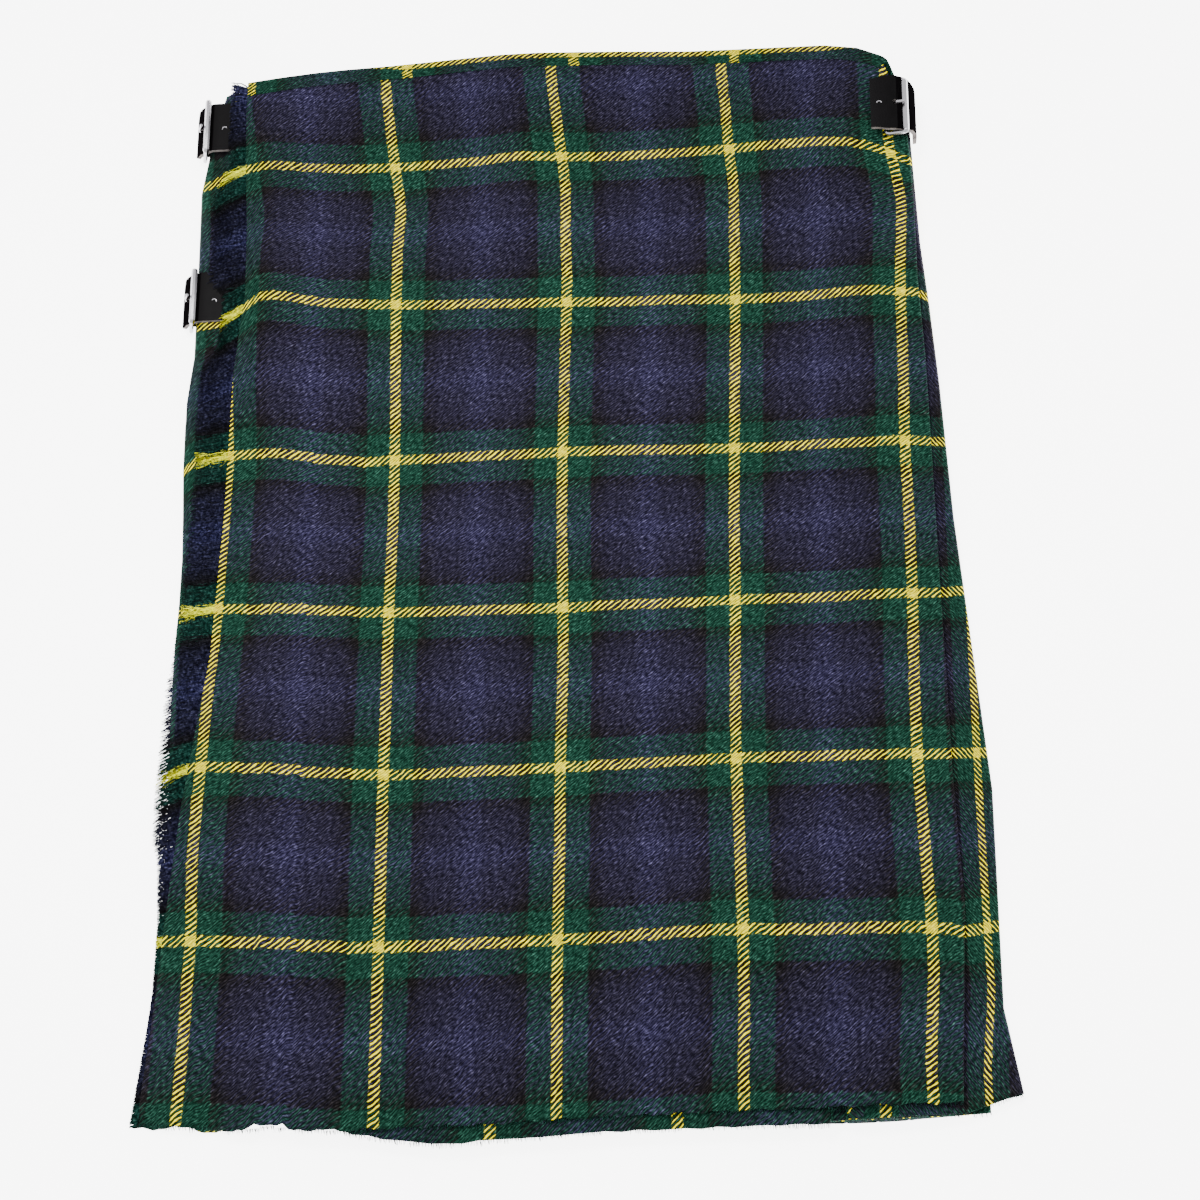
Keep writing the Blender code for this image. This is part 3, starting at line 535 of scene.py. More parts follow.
def twill(nodes, across, along, warp, weft, fuzz):
    """Colour and normal of a 2/2 twill, whose floats run in slanting strokes."""
    column = nodes.math("MULTIPLY", across, WARP_THREADS)
    row = nodes.math("MULTIPLY", along, WEFT_THREADS)
    stroke = nodes.math("ADD", column, row)
    run = nodes.math("SUBTRACT", column, row)
    plane = nodes.add("ShaderNodeCombineXYZ")
    nodes.put(plane.inputs[0], nodes.math("MULTIPLY", stroke, STROKE_GRAIN))
    nodes.put(plane.inputs[1], nodes.math("MULTIPLY", run, RUN_GRAIN))
    waver = nodes.between(nodes.noise(0.6, 1.0, plane.outputs[0]), -WAVER, WAVER)
    threads = nodes.math("ADD", stroke, waver)
    phase = nodes.math("FRACT", nodes.math("MULTIPLY", threads, 1.0 / TWILL_REPEAT))
    wave = nodes.math("SINE", nodes.math("MULTIPLY", phase, 2.0 * math.pi))
    rounded = nodes.math("ABSOLUTE", wave)
    reds = [nodes.red(thread) for thread in (warp, weft)]
    contrast = nodes.math("ABSOLUTE", nodes.math("SUBTRACT", *reds))
    upper = nodes.math("SUBTRACT", nodes.math("LESS_THAN", phase, 0.5), 0.5)
    cover = nodes.between(contrast, ALIKE.cover, APART.cover)
    colour = nodes.mix(nodes.math("MULTIPLY_ADD", upper, cover, 0.5), weft, warp)
    lit = nodes.math("POWER", rounded, nodes.between(contrast, ALIKE.roundness, APART.roundness))
    valley = nodes.between(contrast, ALIKE.valley, APART.valley)
    top = nodes.between(nodes.math("MULTIPLY", *reds), PLAIN_TOP, YELLOW_TOP)
    light = nodes.math("MULTIPLY_ADD", lit, nodes.math("SUBTRACT", top, valley), valley)
    grain = nodes.noise(1.0, 2.0, plane.outputs[0])
    colour = flecks_and_fibre_glints(nodes, tinted(nodes, colour, light), grain)
    relief = nodes.math("ADD", rounded, nodes.math("MULTIPLY", fuzz, FUZZ_SHARE))
    return colour, nodes.bump(relief, TWILL_DEPTH)


def tartan(name, loose=False):
    """Wool in the kilt's checks. Loose threads show the weft alone."""
    cloth = bpy.context.scene.kilt_cloth
    nodes = Nodes(name)
    where = nodes.add("ShaderNodeUVMap", uv_map="cloth").outputs["UV"]
    parts = nodes.add("ShaderNodeSeparateXYZ")
    nodes.put(parts.inputs[0], where)
    across, along = parts.outputs["X"], parts.outputs["Y"]
    fuzz = nodes.noise(FUZZ_SCALE, 3.0)
    stray = nodes.between(fuzz, -STRAY, STRAY)
    weft = thread_colours(nodes, nodes.math("ADD", along, stray), cloth)
    if loose:
        weft = nodes.mix(1.0, weft, LOOSE_TINT, "MULTIPLY")
        single = tinted(nodes, weft, nodes.between(across, LOOSE_DARK, LOOSE_LIGHT))
        colour = flecks_and_fibre_glints(nodes, single, nodes.noise(LOOSE_SCALE, 2.0))
        normal = nodes.bump(fuzz, LOOSE_DEPTH)
    else:
        warp = thread_colours(nodes, nodes.math("ADD", across, stray), cloth)
        colour, normal = twill(nodes, across, along, warp, weft, fuzz)
    drift = nodes.between(nodes.noise(DRIFT_SCALE, 2.0), 1.0 - DRIFT, 1.0 + DRIFT)
    colour = tinted(nodes, colour, drift)
    red = nodes.red(colour)
    nodes.put(nodes.shader.inputs["Base Color"], colour)
    nodes.put(nodes.shader.inputs["Normal"], normal)
    nodes.put(nodes.shader.inputs["Specular IOR Level"], nodes.between(red, WOOL_GLOSS, 0.0))
    nodes.put(nodes.shader.inputs["Sheen Weight"], nodes.between(red, WOOL_SHEEN, 0.0))
    nodes.shader.inputs["Sheen Roughness"].default_value = SHEEN_ROUGHNESS
    nodes.shader.inputs["Roughness"].default_value = WOOL_ROUGHNESS
    return nodes.material


def leather(name):
    """Black leather with paler cut edges, partly their own colour and partly a painted glint, and paler
    patches, partly wear and partly painted sheen.
    """
    trim = bpy.context.scene.kilt_trim
    nodes = Nodes(name)
    # Paler patches: partly wear, partly painted sheen on the leather
    wear_and_sheen = nodes.noise(WEAR_AND_SHEEN_SCALE, 3.0)
    rubbed_and_sheen_colour = [RUBBED_AND_SHEEN_PALING * part for part in trim.leather]
    colour = nodes.mix(wear_and_sheen, (*trim.leather, 1.0), (*rubbed_and_sheen_colour, 1.0))
    facing = nodes.add("ShaderNodeSeparateXYZ")
    nodes.put(facing.inputs[0], nodes.add("ShaderNodeNewGeometry").outputs["True Normal"])
    # Faces along Y are painted paler: partly the leather's own cut edge, partly a painted glint
    edge = nodes.math("GREATER_THAN", nodes.math("ABSOLUTE", facing.outputs["Y"]), EDGE_FACING)
    edge = nodes.math("MULTIPLY", edge, nodes.between(wear_and_sheen, -0.3, 1.3))
    colour = nodes.mix(edge, colour, (*trim.cut_edge_and_glint, 1.0))
    nodes.put(nodes.shader.inputs["Base Color"], colour)
    relief = nodes.bump(nodes.noise(GRAIN_SCALE, 4.0), GRAIN_DEPTH, GRAIN_STRENGTH)
    nodes.put(nodes.shader.inputs["Normal"], relief)
    nodes.put(nodes.shader.inputs["Roughness"], nodes.between(wear_and_sheen, 0.35, 0.55))
    top = nodes.math("GREATER_THAN", facing.outputs["Z"], TOP_FACING)
    nodes.put(nodes.shader.inputs["Specular IOR Level"], nodes.math("MULTIPLY", top, LEATHER_GLOSS))
    return nodes.material


def metal(name):
    """Plated steel, rubbed unevenly."""
    trim = bpy.context.scene.kilt_trim
    nodes = Nodes(name)
    nodes.shader.inputs["Base Color"].default_value = (*trim.metal, 1.0)
    nodes.shader.inputs["Metallic"].default_value = 1.0
    rubbed = nodes.between(nodes.noise(BRUSHED_SCALE, 2.0), 0.16, 0.32)
    nodes.put(nodes.shader.inputs["Roughness"], rubbed)
    return nodes.material


def column_of(table, name):
    return np.array([getattr(row, name) for row in table], float)


def line_at(table, key, name, at):
    return np.interp(at, column_of(table, key), column_of(table, name))


def ramp(value, start, over):
    """Goes from 0 at a start to 1 after a distance, which is below 0 where the value falls."""
    return np.clip((value - start) / over, 0.0, 1.0)


def laid_down(x, y):
    """How far down from the waist a place of the laid kilt is, along its cloth."""
    return LENGTH * (float(line_at(WAIST, "x", "y", x)) - y) / LAID_LENGTH


def to_level(points):
    """Where the camera sees points, in mm, on the level that the yellow lines are stated on."""
    eye = np.array(EYE) / MM
    share = (LEVEL - eye[2]) / (points[:, 2] - eye[2])
    return eye + (points - eye) * share[:, None]


def count_lines(value, lines, past=SETT):
    """Counts how many stripes lie before a value, whole at each one, with a part for what is between."""
    total = np.minimum(value - lines[0], 0.0) / SETT + np.maximum(value - lines[-1], 0.0) / past
    for before, after in zip(lines[:-1], lines[1:]):
        total += np.clip((value - before) / (after - before), 0.0, 1.0)
    return total


def across_front(points):
    """How many setts a seen point of the front is from the first yellow line."""
    lines = [line_at(WARP_LINES, "y", name, points[:, 1]) for name in Warp._fields[1:]]
    return count_lines(points[:, 0], lines)


def down_front(points, past=HEM_SETT):
    """How many setts down a seen point is, with the first yellow line across at 1."""
    lines = [-line_at(WEFT_LINES, "x", name, points[:, 0]) for name in Weft._fields[1:]]
    return 1.0 + count_lines(-points[:, 1], lines, past)


def ground_under(names):
    """Finds the height in mm of the CAD solids at places in mm, looking down, or a floor value."""
    meshes = [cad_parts[name].data for name in names]
    trees = [
        BVHTree.FromPolygons([v.co for v in mesh.vertices], [tuple(p.vertices) for p in mesh.polygons])
        for mesh in meshes
    ]

    def height(x, y, floor=0.0):
        best = floor
        for tree in trees:
            hit = tree.ray_cast(Vector((x * MM, y * MM, 0.1)), Vector((0.0, 0.0, -1.0)))[0]
            if hit is not None:
                best = max(best, hit.z / MM)
        return best

    return height


def new_piece(name, mesh, look, replaced=()):
    """Puts a mesh into the scene as a piece that rides on the kilt."""
    obj = bpy.data.objects.new(name, mesh)
    mesh.materials.clear()
    mesh.materials.append(look)
    bpy.context.scene.collection.objects.link(obj)
    if replaced:
        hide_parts(*replaced)
    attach(obj, BODY)
    return obj


def corner_points(mesh):
    """The number of the point at each face corner of a mesh."""
    corners = np.zeros(len(mesh.loops), int)
    mesh.loops.foreach_get("vertex_index", corners)
    return corners


def points_of(mesh):
    """The points of a mesh, in mm."""
    points = np.zeros(3 * len(mesh.vertices))
    mesh.vertices.foreach_get("co", points)
    return points.reshape(-1, 3) / MM


def set_uv(mesh, values):
    """Writes the cloth's own places, one for each face corner of the mesh."""
    layer = mesh.uv_layers.new(name="cloth")
    layer.data.foreach_set("uv", np.asarray(values, float).ravel())


def softened(values, rounds):
    """Averages a grid of values with its neighbours, with slopes running on past its edges."""
    for _ in range(rounds):
        padded = np.pad(values, 1, mode="reflect", reflect_type="odd")
        values = (
            4.0 * padded[1:-1, 1:-1] + 2.0 * (padded[:-2, 1:-1] + padded[2:, 1:-1])
            + 2.0 * (padded[1:-1, :-2] + padded[1:-1, 2:])
            + padded[:-2, :-2] + padded[2:, 2:] + padded[:-2, 2:] + padded[2:, :-2]
        ) / 16.0
    return values


def crease_height(x, y):
    """How far the creases lift the front at places, or lower it."""
    total = np.zeros_like(x)
    for c in CREASES:
        run = np.array([c.x1 - c.x0, c.y1 - c.y0])
        length = np.linalg.norm(run)
        along = ((x - c.x0) * run[0] + (y - c.y0) * run[1]) / length
        away = ((x - c.x0) * run[1] - (y - c.y0) * run[0]) / length
        wander = WANDER * np.sin(along / WANDER_LENGTH + c.x0)
        fade = CREASE_END * length
        ends = ramp(along, 0.0, fade) * ramp(along, length, -fade)
        total += c.height * ends * np.exp(-((away + wander) / c.width) ** 2)
    return total


def grid_faces(rows, columns):
    index = np.arange(rows * columns).reshape(rows, columns)
    corners = (index[:-1, :-1], index[1:, :-1], index[1:, 1:], index[:-1, 1:])
    return np.stack([corner.ravel() for corner in corners], axis=1)


def hem_waves(x):
    return sum(wave.height * np.sin(x / wave.length + wave.start) for wave in HEM_WAVES)


def front_grids():
    """The front's points and the cloth's places on it, as grids with a row for each step down."""
    step = bpy.context.scene.kilt_cloth.grid / MM
    columns = int(FRONT_WIDTH / step)
    down = np.linspace(0.0, LENGTH, int(LENGTH / step))[:, None] * np.ones(columns)
    free = line_at(EDGES, "down", "free", down)
    fold = line_at(EDGES, "down", "fold", down)
    x = free + (fold - FOLD_RADIUS - free) * np.linspace(0.0, 1.0, columns)
    top = line_at(WAIST, "x", "y", x)
    y = top + (line_at(HEM, "x", "y", x) + hem_waves(x) - top) * down / LENGTH
    inside_x = np.clip(x, free + INSET, fold - FOLD_INSET)
    lowest = line_at(HEM, "x", "y", inside_x) + INSET
    inside_y = np.clip(y, lowest, line_at(WAIST, "x", "y", inside_x) - INSET)
    height = ground_under(["over_apron"])
    z = np.array([height(a, b, -1.0) for a, b in zip(inside_x.ravel(), inside_y.ravel())])
    z = softened(z.reshape(x.shape), SOFT_HEIGHT)
    calm = ramp(down, CALM, CALM) * ramp(fold - x, 0.0, CALM)
    z = np.maximum(z + calm * crease_height(x, y), FRONT_LOW)
    seen = to_level(np.stack([x, y, z], axis=2).reshape(-1, 3))
    u = softened(across_front(seen).reshape(x.shape), SOFT_ACROSS)
    v = softened(down_front(seen).reshape(x.shape), SOFT_DOWN)
    return [x, y, z, u, v]


def with_leaf(grids):
    """Adds the front's fold at the wearer's left, and the leaf that is turned under, to its grids."""
    last = [grid[:, -1] for grid in grids]
    turns = np.linspace(0.0, math.pi, FOLD_STEPS + 1)[1:]
    line = [(math.sin(turn), math.cos(turn)) for turn in turns] + [(0.0, -1.0)] * LEAF_STEPS
    for count, (out, rise) in enumerate(line, 1):
        back = max(0, count - FOLD_STEPS) * LEAF_STEP
        run = FOLD_RADIUS * math.pi * min(count, FOLD_STEPS) / FOLD_STEPS + back
        added = (
            last[0] + FOLD_RADIUS * out - back, last[1], last[2] - FOLD_RADIUS * (1.0 - rise),
            last[3] + run / SETT, last[4],
        )
        grids = [np.column_stack([grid, column]) for grid, column in zip(grids, added)]
    return grids


def make_front():
    """The over apron as one sheet: the front, its fold at the wearer's left and the leaf turned under."""
    x, y, z, u, v = with_leaf(front_grids())
    points = np.stack([x, y, z], axis=2).reshape(-1, 3)
    mesh = bpy.data.meshes.new("over_apron_cloth")
    mesh.from_pydata(points * MM, [], grid_faces(*x.shape).tolist())
    mesh.shade_smooth()
    set_uv(mesh, np.stack([u, v], axis=2).reshape(-1, 2)[corner_points(mesh)])
    front = new_piece("over_apron_cloth", mesh, tartan("tartan_front"), ["over_apron"])
    wall = front.modifiers.new("thickness", "SOLIDIFY")
    wall.thickness = FRONT_WALL * MM
    wall.offset = -1.0


def dressed_copy(node, name, look, cuts, places, slices=0):
    """A copy of a CAD node's mesh, cut finer, smooth but for its sharp edges, with the cloth's places."""
    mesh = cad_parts[node].data.copy()
    work = bmesh.new()
    work.from_mesh(mesh)
    bmesh.ops.remove_doubles(work, verts=work.verts, dist=1e-6)
    bmesh.ops.join_triangles(
        work, faces=work.faces, angle_face_threshold=math.radians(FLAT_ANGLE),
        angle_shape_threshold=math.radians(SHAPE_ANGLE),
    )
    if cuts:
        bmesh.ops.subdivide_edges(work, edges=work.edges, cuts=cuts, use_grid_fill=True)
    for level in np.linspace(-0.5, 0.5, slices + 2)[1:-1] * LENGTH * MM:
        parts = work.verts[:] + work.edges[:] + work.faces[:]
        place = (0.0, level, 0.0)
        bmesh.ops.bisect_plane(work, geom=parts, dist=1e-6, plane_co=place, plane_no=(0.0, 1.0, 0.0))
    work.to_mesh(mesh)
    work.free()
    mesh.name = name
    mesh.shade_smooth()
    mesh.set_sharp_from_angle(angle=math.radians(SHARP_ANGLE))
    if places is not None:
        set_uv(mesh, places(mesh))
    return new_piece(name, mesh, look, [node])


# The under apron's first yellow line, and how its lines are pulled out from a place to its fold
UNDER_LINE = -34.0
UNDER_PULL = 6.0
PULL_FROM = -150.0
PULL_OVER = 40.0


def under_places(mesh):
    """The under apron's checks, whose lines across match the front's."""
    points = points_of(mesh)[corner_points(mesh)]
    x = points[:, 0]
    u = (x - UNDER_LINE - UNDER_PULL * ramp(x, PULL_FROM, -PULL_OVER)) / SETT
    return np.stack([u, down_front(to_level(points), UNDER_HEM_SETT)], axis=1)


# The first and the last fold of the pleats at distances down from the waist, and their number
Fold = namedtuple("Fold", "down first last")
FOLDS = (Fold(0, -177.0, 140.0), Fold(269, -187.0, 160.0), Fold(612, -181.0, 174.0))
PLEATS = 23

# How high a layer of the pleats is, how high the middle of the lowest one lies, and how much the
# waistband lifts them down to a place and past it
LAYER = 1.25
LOWEST_MIDDLE = 0.5
WAIST_LIFT = 1.3
LIFT_TO = 35.0
LIFT_OVER = 16.0

# The run on the floor is below a height. So is a pleat's turn, in the last part of what shows of it
FLOOR_PLY = 1.12
TURN_FROM = 0.8
TURN_HEIGHT = 3.2

# The part of the sett at each pleat's fold, and how many cuts across the long faces of the back have
FOLD_PHASE = 0.30
BACK_SLICES = 26

# The side that wraps up: where it starts past the last fold, its upper ply's depth, its yellow line, and
# how much narrower its sett looks than the front's
SIDE_START = 4.0
SIDE_PLY = 1.15
SIDE_LINE = (
    Place(212.8, -299), Place(212.3, -279), Place(216.6, -241), Place(215.7, -207), Place(214.8, -116),
)
SIDE_NARROWING = 1.5


def back_places(mesh):
    """The cloth in pleats of one sett each, folded to and fro, then the side that wraps up."""
    surface = ground_under(["pleated_back"])
    points = points_of(mesh)
    values = np.zeros((len(mesh.loops), 2))
    for face in mesh.polygons:
        x, y, z = face.center / MM
        down = laid_down(x, y)
        z -= WAIST_LIFT * float(ramp(down, LIFT_TO, -LIFT_OVER))
        first = float(line_at(FOLDS, "down", "first", down))
        last = float(line_at(FOLDS, "down", "last", down))
        reveal = (last - first) / PLEATS
        corners = points[list(face.vertices)]
        if x > last + SIDE_START and z > surface(x, y) - SIDE_PLY:
            line = line_at(SIDE_LINE, "y", "x", corners[:, 1])
            u = SIDE_NARROWING * (line - corners[:, 0]) / SETT
        else:
            shown = (x - first) / reveal
            layer = round(2.0 * (min(x, last) - first) / reveal - (z - LOWEST_MIDDLE) / LAYER)
            lowest = z < FLOOR_PLY or (shown % 1.0 > TURN_FROM and z < TURN_HEIGHT)
            pleat = min(math.floor(shown), PLEATS) if lowest else (layer + 1) // 2
            way = 1.0 if lowest or layer % 2 == 0 else -1.0
            u = FOLD_PHASE + pleat + way * (corners[:, 0] - first - reveal * pleat) / SETT
        values[list(face.loop_indices), 0] = u
    values[:, 1] = down_front(to_level(points[corner_points(mesh)]), UNDER_HEM_SETT)
    return values


# The top of the waistband's hidden stretches, and the part of the sett there, which is blue
BAND_TOP = 304.0
BAND_BLUE = 0.42


def hidden_band_places(mesh):
    """The waistband's stretches that the front hides, in the blue of the sett."""
    points = points_of(mesh)[corner_points(mesh)]
    v = BAND_BLUE + (BAND_TOP - points[:, 1] - points[:, 2]) / (2.0 * SETT)
    return np.stack([points[:, 0] / SETT, v], axis=1)


# The waistband's outer ply: where the front is read for it along X, where it ends, how much of its depth
# is taken up, and from where, and over what depth, it is pressed on to the front
PLY_FROM = -180.0
PLY_TO = 184.0
PLY_END = 185.0
TAKE_UP = 0.42
PRESS_FROM = 1.0
PRESS_OVER = 3.5

# The pressed ply: its gap to the front, its gap in the CAD, and the part of its height that stays
PRESSED_GAP = 0.1
CAD_GAP = 0.6
PRESSED_SHARE = 0.25


def settle_edge(mesh):
    """Takes up the waistband's outer ply and presses its lower edge on to the front, without a step."""
    height = ground_under(["over_apron"])
    for vertex in mesh.vertices:
        x, y, z = vertex.co / MM
        inside = min(max(x, PLY_FROM), PLY_TO)
        below = float(line_at(WAIST, "x", "y", x)) - y
        if below > 0.0 and x < PLY_END and z > height(inside, y):
            y += TAKE_UP * below
            ground = height(inside, y)
            pressed = ground + PRESSED_GAP + PRESSED_SHARE * (z - ground - CAD_GAP)
            share = float(ramp((1.0 - TAKE_UP) * below, PRESS_FROM, PRESS_OVER))
            vertex.co.y = y * MM
            vertex.co.z += share * (pressed - z) * MM


# The waistband's own yellow lines along X, and how far its strip slips over its top edge at both ends
BAND_LINES = (-179.0, -89.0, 6.0, 97.0, 190.0)
SLIP = 4.5
LEFT_SLIP = -112.0
LEFT_SLIP_OVER = 24.0
RIGHT_SLIP = 150.0
RIGHT_SLIP_OVER = 16.0


def band_places(mesh):
    """The waistband's own strip, with a yellow line along its top edge that slips over it at both ends."""
    points = points_of(mesh)[corner_points(mesh)]
    x = points[:, 0]
    left = 1.0 - ramp(x, LEFT_SLIP, LEFT_SLIP_OVER)
    slip = SLIP * (left + ramp(x, RIGHT_SLIP, RIGHT_SLIP_OVER))
    lines = [np.full(len(x), line) for line in BAND_LINES]
    down = line_at(WAIST, "x", "y", x) - points[:, 1] + slip
    return np.stack([count_lines(x, lines), down / SETT], axis=1)


# Where along X the under apron's fold is eased out, and where down from the waist its hem is uneven
EASE_FROM = -188.0
EASE_OVER = 12.0
WAVES_FROM = 590.0
WAVES_OVER = 10.0


def make_cloth():
    """The layers under the front, and the waistband."""
    look = tartan("tartan_under")
    under = dressed_copy("under_apron", "under_apron_cloth", look, 2, under_places)
    for vertex in under.data.vertices:
        x, y = vertex.co.xy / MM
        down = laid_down(x, y)
        ease = float(line_at(UNDER_EASE, "down", "out", down))
        vertex.co.x -= ease * ramp(x, EASE_FROM, -EASE_OVER) * MM
        vertex.co.y += hem_waves(x) * ramp(down, WAVES_FROM, WAVES_OVER) * MM
    look = tartan("tartan_back")
    places = back_places
    back = dressed_copy("pleated_back", "pleated_back_cloth", look, 0, places, BACK_SLICES)
    stretches = {"front": band_places, "under": hidden_band_places, "back": hidden_band_places}
    for part, places in stretches.items():
        node = "waistband_" + part
        band = dressed_copy(node, node + "_cloth", tartan("tartan_band_" + part), 2, places)
        if part == "front":
            settle_edge(band.data)


class Strands:
    """Loose threads, each a thin three-sided taper along a line of points."""

    def __init__(self):
        self.points = []
        self.places = []
        self.faces = []

    def add(self, line, width, place):
        start = len(self.points)
        steps = len(line) - 1
        for step, (x, y, z) in enumerate(line):
            thin = width * (1.0 - TAPER * step / steps)
            for turn in THREAD_TURNS:
                out = thin * math.cos(turn)
                lift = thin * math.sin(turn)
                self.points.append((x + THREAD_FLAT[0] * out, y + out, z + THREAD_FLAT[1] * lift))
                self.places.append(place)
        for step in range(steps):
            a = start + 3 * step
            for side in range(3):
                b = (side + 1) % 3
                self.faces.append((a + side, a + b, a + 3 + b, a + 3 + side))
        tip = start + 3 * steps
        self.faces.append((tip, tip + 1, tip + 2))

    def finish(self, name, replaced):
        mesh = bpy.data.meshes.new(name)
        mesh.from_pydata(np.array(self.points) * MM, [], self.faces)
        mesh.shade_smooth()
        set_uv(mesh, np.array(self.places)[corner_points(mesh)])
        new_piece(name, mesh, tartan(name + "_wool", loose=True), replaced)


def make_fringe():
    """Loose weft threads along the over apron's free edge, with roots in the edge's narrow strip."""
    count = bpy.context.scene.kilt_cloth.strands
    chance = np.random.default_rng(11)
    ground = ground_under([
        "under_apron", "strap_left_upper", "strap_left_lower", "buckle_left_upper", "buckle_left_lower",
        "waistband_under",
    ])
    edge_height = ground_under(["over_apron"])
    strands = Strands()
    for number in range(count):
        down = 1.0 + (LENGTH - 2.0) * (number + chance.uniform(0.0, 1.0)) / count
        x = float(line_at(EDGES, "down", "free", down)) + ROOT_INSET
        top = float(line_at(WAIST, "x", "y", x))
        y = top + (float(line_at(HEM, "x", "y", x)) - top) * down / LENGTH
        root = edge_height(x + ROOT_INSET, y, 1.0) - ROOT_DEPTH
        shown = float(line_at(FRINGE, "down", "length", down)) * chance.uniform(*THREAD_SHARE)
        length = shown + THREAD_HIDDEN
        droop = float(line_at(FRINGE, "down", "droop", down)) + chance.normal(0.0, DROOP_SPREAD)
        sway = WAIST_SWAY * max(0.0, 1.0 - down / WAIST_NEAR) - droop
        curl = CURL * chance.normal(0.0, CURL_SPREAD)
        rise = chance.uniform(0.0, STAND)
        line = []
        for share in np.linspace(0.0, 1.0, THREAD_STEPS + 1):
            px = x - length * share
            py = y + length * (sway * share + curl * math.sin(CURL_TURN * share))
            floor = ground(px, py, 0.0) + THREAD_GAP + SINK * rise
            free = root - SINK * length * share * share + rise
            line.append((px, py, max(floor, min(root, free))))
        v = float(down_front(to_level(np.array([[x, y, root]])))[0])
        strands.add(line, chance.uniform(*THREAD_WIDTH), (chance.uniform(0.0, 1.0), v))
    strands.finish("fringe_threads", ["apron_fringe"])


def make_fray():
    """Short ends of the warp that stand out of the hems."""
    chance = np.random.default_rng(7)
    strands = Strands()
    for name in ("over_apron", "under_apron", "pleated_back"):
        sides = points_of(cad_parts[name].data)[:, 0]
        height = ground_under([name])
        for x in np.arange(sides.min() + 1.0, sides.max() - 1.0, FRAY_STEP):
            x += chance.uniform(-FRAY_JITTER, FRAY_JITTER)
            y = HEM_FROM
            while height(x, y - 1.0, -1.0) > -1.0 and y > HEM_TO:
                y -= 1.0
            z = height(x, y, 0.0) - chance.uniform(*FRAY_DEPTH)
            length = chance.uniform(*FRAY_LENGTH)
            sway = chance.normal(0.0, FRAY_SWAY)
            line = [
                (x + sway * share, y - length * share, max(FRAY_LOW, z - FRAY_SINK * share))
                for share in (0.0, 0.5, 1.0)
            ]
            width = chance.uniform(*FRAY_WIDTH)
            strands.add(line, width, (chance.uniform(0.0, FRAY_TONE), FRAY_BAND))
    strands.finish("hem_fray", ())


def make_hole_glints(look):
    """Painted highlights of the strap holes that show: each glint is an arc of bright metal wire on the
    leather.
    """
    points = []
    faces = []
    for hole in HOLES:
        first = len(points)
        z = ground_under(["strap_" + hole.strap])(hole.x, hole.y) + RIM_LIFT
        for step in range(HOLE_STEPS + 1):
            turn = math.radians(hole.start + (hole.end - hole.start) * step / HOLE_STEPS)
            for side in range(RIM_SIDES):
                ring = 2.0 * math.pi * (side + 0.5) / RIM_SIDES
                reach = HOLE_RADIUS + RIM_WIRE * math.cos(ring)
                x = hole.x + reach * math.cos(turn)
                y = hole.y + reach * math.sin(turn)
                points.append((x, y, z + RIM_WIRE * math.sin(ring)))
        for step in range(HOLE_STEPS):
            a = first + RIM_SIDES * step
            c = a + RIM_SIDES
            for side in range(RIM_SIDES):
                b = (side + 1) % RIM_SIDES
                faces.append((a + side, a + b, c + b, c + side))
        last = first + RIM_SIDES * HOLE_STEPS
        faces.append(tuple(reversed(range(first, first + RIM_SIDES))))
        faces.append(tuple(range(last, last + RIM_SIDES)))
    mesh = bpy.data.meshes.new("strap_hole_glints")
    mesh.from_pydata(np.array(points) * MM, [], faces)
    mesh.shade_smooth()
    new_piece("strap_hole_glints", mesh, look)


def swell_strap(mesh):
    """Widens and lifts the right strap where it runs over the buckle."""
    for vertex in mesh.vertices:
        x, y = vertex.co.xy / MM
        vertex.co.y = (WRAP_Y + (y - WRAP_Y) * float(line_at(WRAP, "x", "wider", x))) * MM
        vertex.co.z += float(line_at(WRAP, "x", "higher", x)) * MM


def make_trim():
    """Straps and chapes in leather and buckles in plated metal, each in its own CAD form."""
    hide = leather("strap_leather")
    plate = metal("buckle_plate")
    for place in STRAPS:
        for kind in ("strap_", "chape_"):
            piece = dressed_copy(kind + place, kind + place + "_leather", hide, 0, None)
            if kind + place == "strap_right":
                swell_strap(piece.data)
            edge = piece.modifiers.new("edge", "BEVEL")
            edge.width = STRAP_BEVEL * MM
            edge.segments = 2
            edge.limit_method = "ANGLE"
        for kind in ("buckle_", "prong_"):
            dressed_copy(kind + place, kind + place + "_plate", plate, 0, None)
    # Painted highlights: bright metal arcs stand in for the glints on the strap holes' rims
    make_hole_glints(metal("hole_glint"))


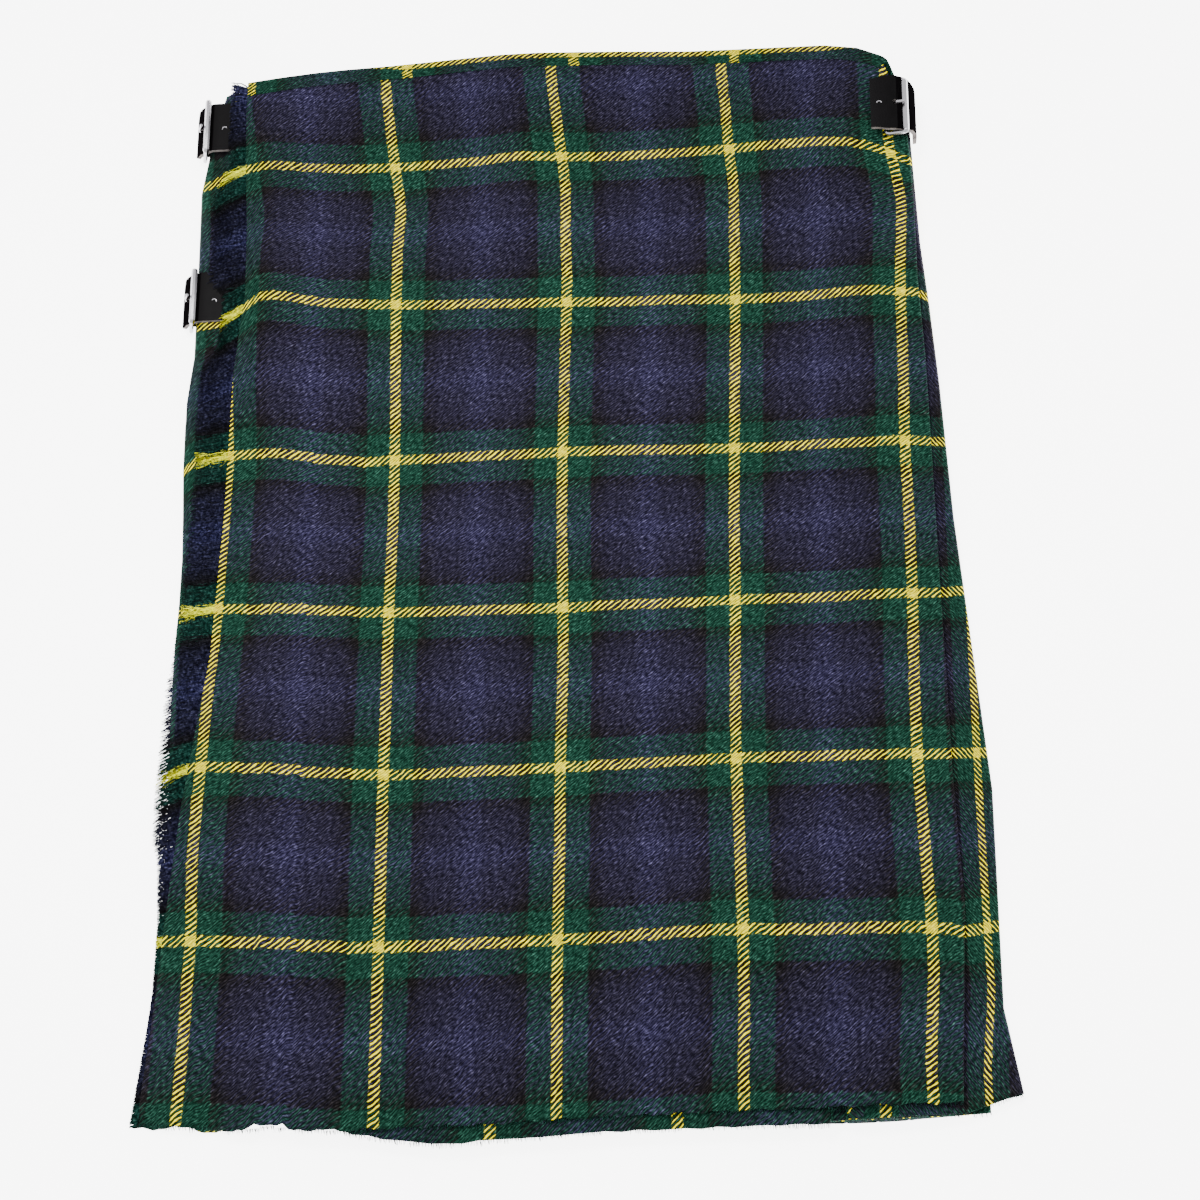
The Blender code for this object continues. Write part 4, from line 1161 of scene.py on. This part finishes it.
def make_stage():
    """Camera, a pale floor and soft studio light."""
    settings = bpy.context.scene.kilt_stage
    bpy.ops.mesh.primitive_plane_add(size=FLOOR_SIZE, location=(0.0, 0.0, -FLOOR_DROP))
    floor = bpy.context.object
    floor.name = "floor"
    nodes = Nodes("pale_floor")
    nodes.shader.inputs["Base Color"].default_value = (*settings.floor, 1.0)
    nodes.shader.inputs["Roughness"].default_value = 0.9
    nodes.shader.inputs["Specular IOR Level"].default_value = 0.0
    nodes.shader.inputs["Emission Color"].default_value = (1.0, 1.0, 1.0, 1.0)
    nodes.shader.inputs["Emission Strength"].default_value = settings.glow
    floor.data.materials.append(nodes.material)
    world = bpy.data.worlds.new("surround")
    world.use_nodes = True
    background = world.node_tree.nodes["Background"]
    background.inputs["Color"].default_value = (1.0, 1.0, 1.0, 1.0)
    background.inputs["Strength"].default_value = settings.sky
    bpy.context.scene.world = world
    light = bpy.data.lights.new("soft_lamp", "SPOT")
    light.energy = settings.lamp
    light.shadow_soft_size = LAMP_SIZE
    light.spot_size = math.radians(LAMP_CONE)
    light.spot_blend = 1.0
    lamp = bpy.data.objects.new("soft_lamp", light)
    lamp.location = LAMP
    lamp.rotation_euler = (LAMP - LIT).to_track_quat("Z", "Y").to_euler()
    bpy.context.scene.collection.objects.link(lamp)
    data = bpy.data.cameras.new("camera")
    data.lens = LENS
    data.sensor_width = SENSOR
    data.dof.use_dof = False
    camera = bpy.data.objects.new("camera", data)
    turn = Matrix((RIGHT, UP, BACK)).transposed()
    camera.matrix_world = Matrix.Translation(EYE) @ turn.to_4x4()
    bpy.context.scene.collection.objects.link(camera)
    bpy.context.scene.camera = camera


class KILT_OT_front(bpy.types.Operator):
    """Make the over apron's cloth"""

    bl_idname = "kilt.front"
    bl_label = "Over apron"

    def execute(self, context):
        make_front()
        return {"FINISHED"}


class KILT_OT_cloth(bpy.types.Operator):
    """Make the under apron, the pleated back and the waistband"""

    bl_idname = "kilt.cloth"
    bl_label = "Lower layers and waistband"

    def execute(self, context):
        make_cloth()
        return {"FINISHED"}


class KILT_OT_fringe(bpy.types.Operator):
    """Make the loose threads of the over apron's edge and the short ends in the hems"""

    bl_idname = "kilt.fringe"
    bl_label = "Fringe"

    def execute(self, context):
        make_fringe()
        make_fray()
        return {"FINISHED"}


class KILT_OT_trim(bpy.types.Operator):
    """Make the straps and buckles"""

    bl_idname = "kilt.trim"
    bl_label = "Straps and buckles"

    def execute(self, context):
        make_trim()
        return {"FINISHED"}


class KILT_OT_stage(bpy.types.Operator):
    """Make the camera, the floor and the light"""

    bl_idname = "kilt.stage"
    bl_label = "Stage"

    def execute(self, context):
        make_stage()
        return {"FINISHED"}


class KILT_PT_panel(bpy.types.Panel):
    """Lists the kilt's pieces and their settings"""

    bl_label = "Kilt"
    bl_idname = "KILT_PT_panel"
    bl_space_type = "VIEW_3D"
    bl_region_type = "UI"
    bl_category = "Kilt"

    def draw(self, context):
        for group in (context.scene.kilt_cloth, context.scene.kilt_trim, context.scene.kilt_stage):
            box = self.layout.box()
            for name in group.__annotations__:
                box.prop(group, name)
        for step in OPERATORS:
            self.layout.operator(step.bl_idname)


GROUPS = (KiltCloth, KiltTrim, KiltStage)
OPERATORS = (KILT_OT_front, KILT_OT_cloth, KILT_OT_fringe, KILT_OT_trim, KILT_OT_stage)


def register():
    for item in GROUPS + OPERATORS + (KILT_PT_panel,):
        bpy.utils.register_class(item)
    bpy.types.Scene.kilt_cloth = bpy.props.PointerProperty(type=KiltCloth)
    bpy.types.Scene.kilt_trim = bpy.props.PointerProperty(type=KiltTrim)
    bpy.types.Scene.kilt_stage = bpy.props.PointerProperty(type=KiltStage)


def unregister():
    for name in ("kilt_cloth", "kilt_trim", "kilt_stage"):
        delattr(bpy.types.Scene, name)
    for item in reversed(GROUPS + OPERATORS + (KILT_PT_panel,)):
        bpy.utils.unregister_class(item)


def main():
    register()
    bpy.ops.kilt.stage()
    bpy.ops.kilt.front()
    bpy.ops.kilt.cloth()
    bpy.ops.kilt.fringe()
    bpy.ops.kilt.trim()


if __name__ == "__main__":
    main()
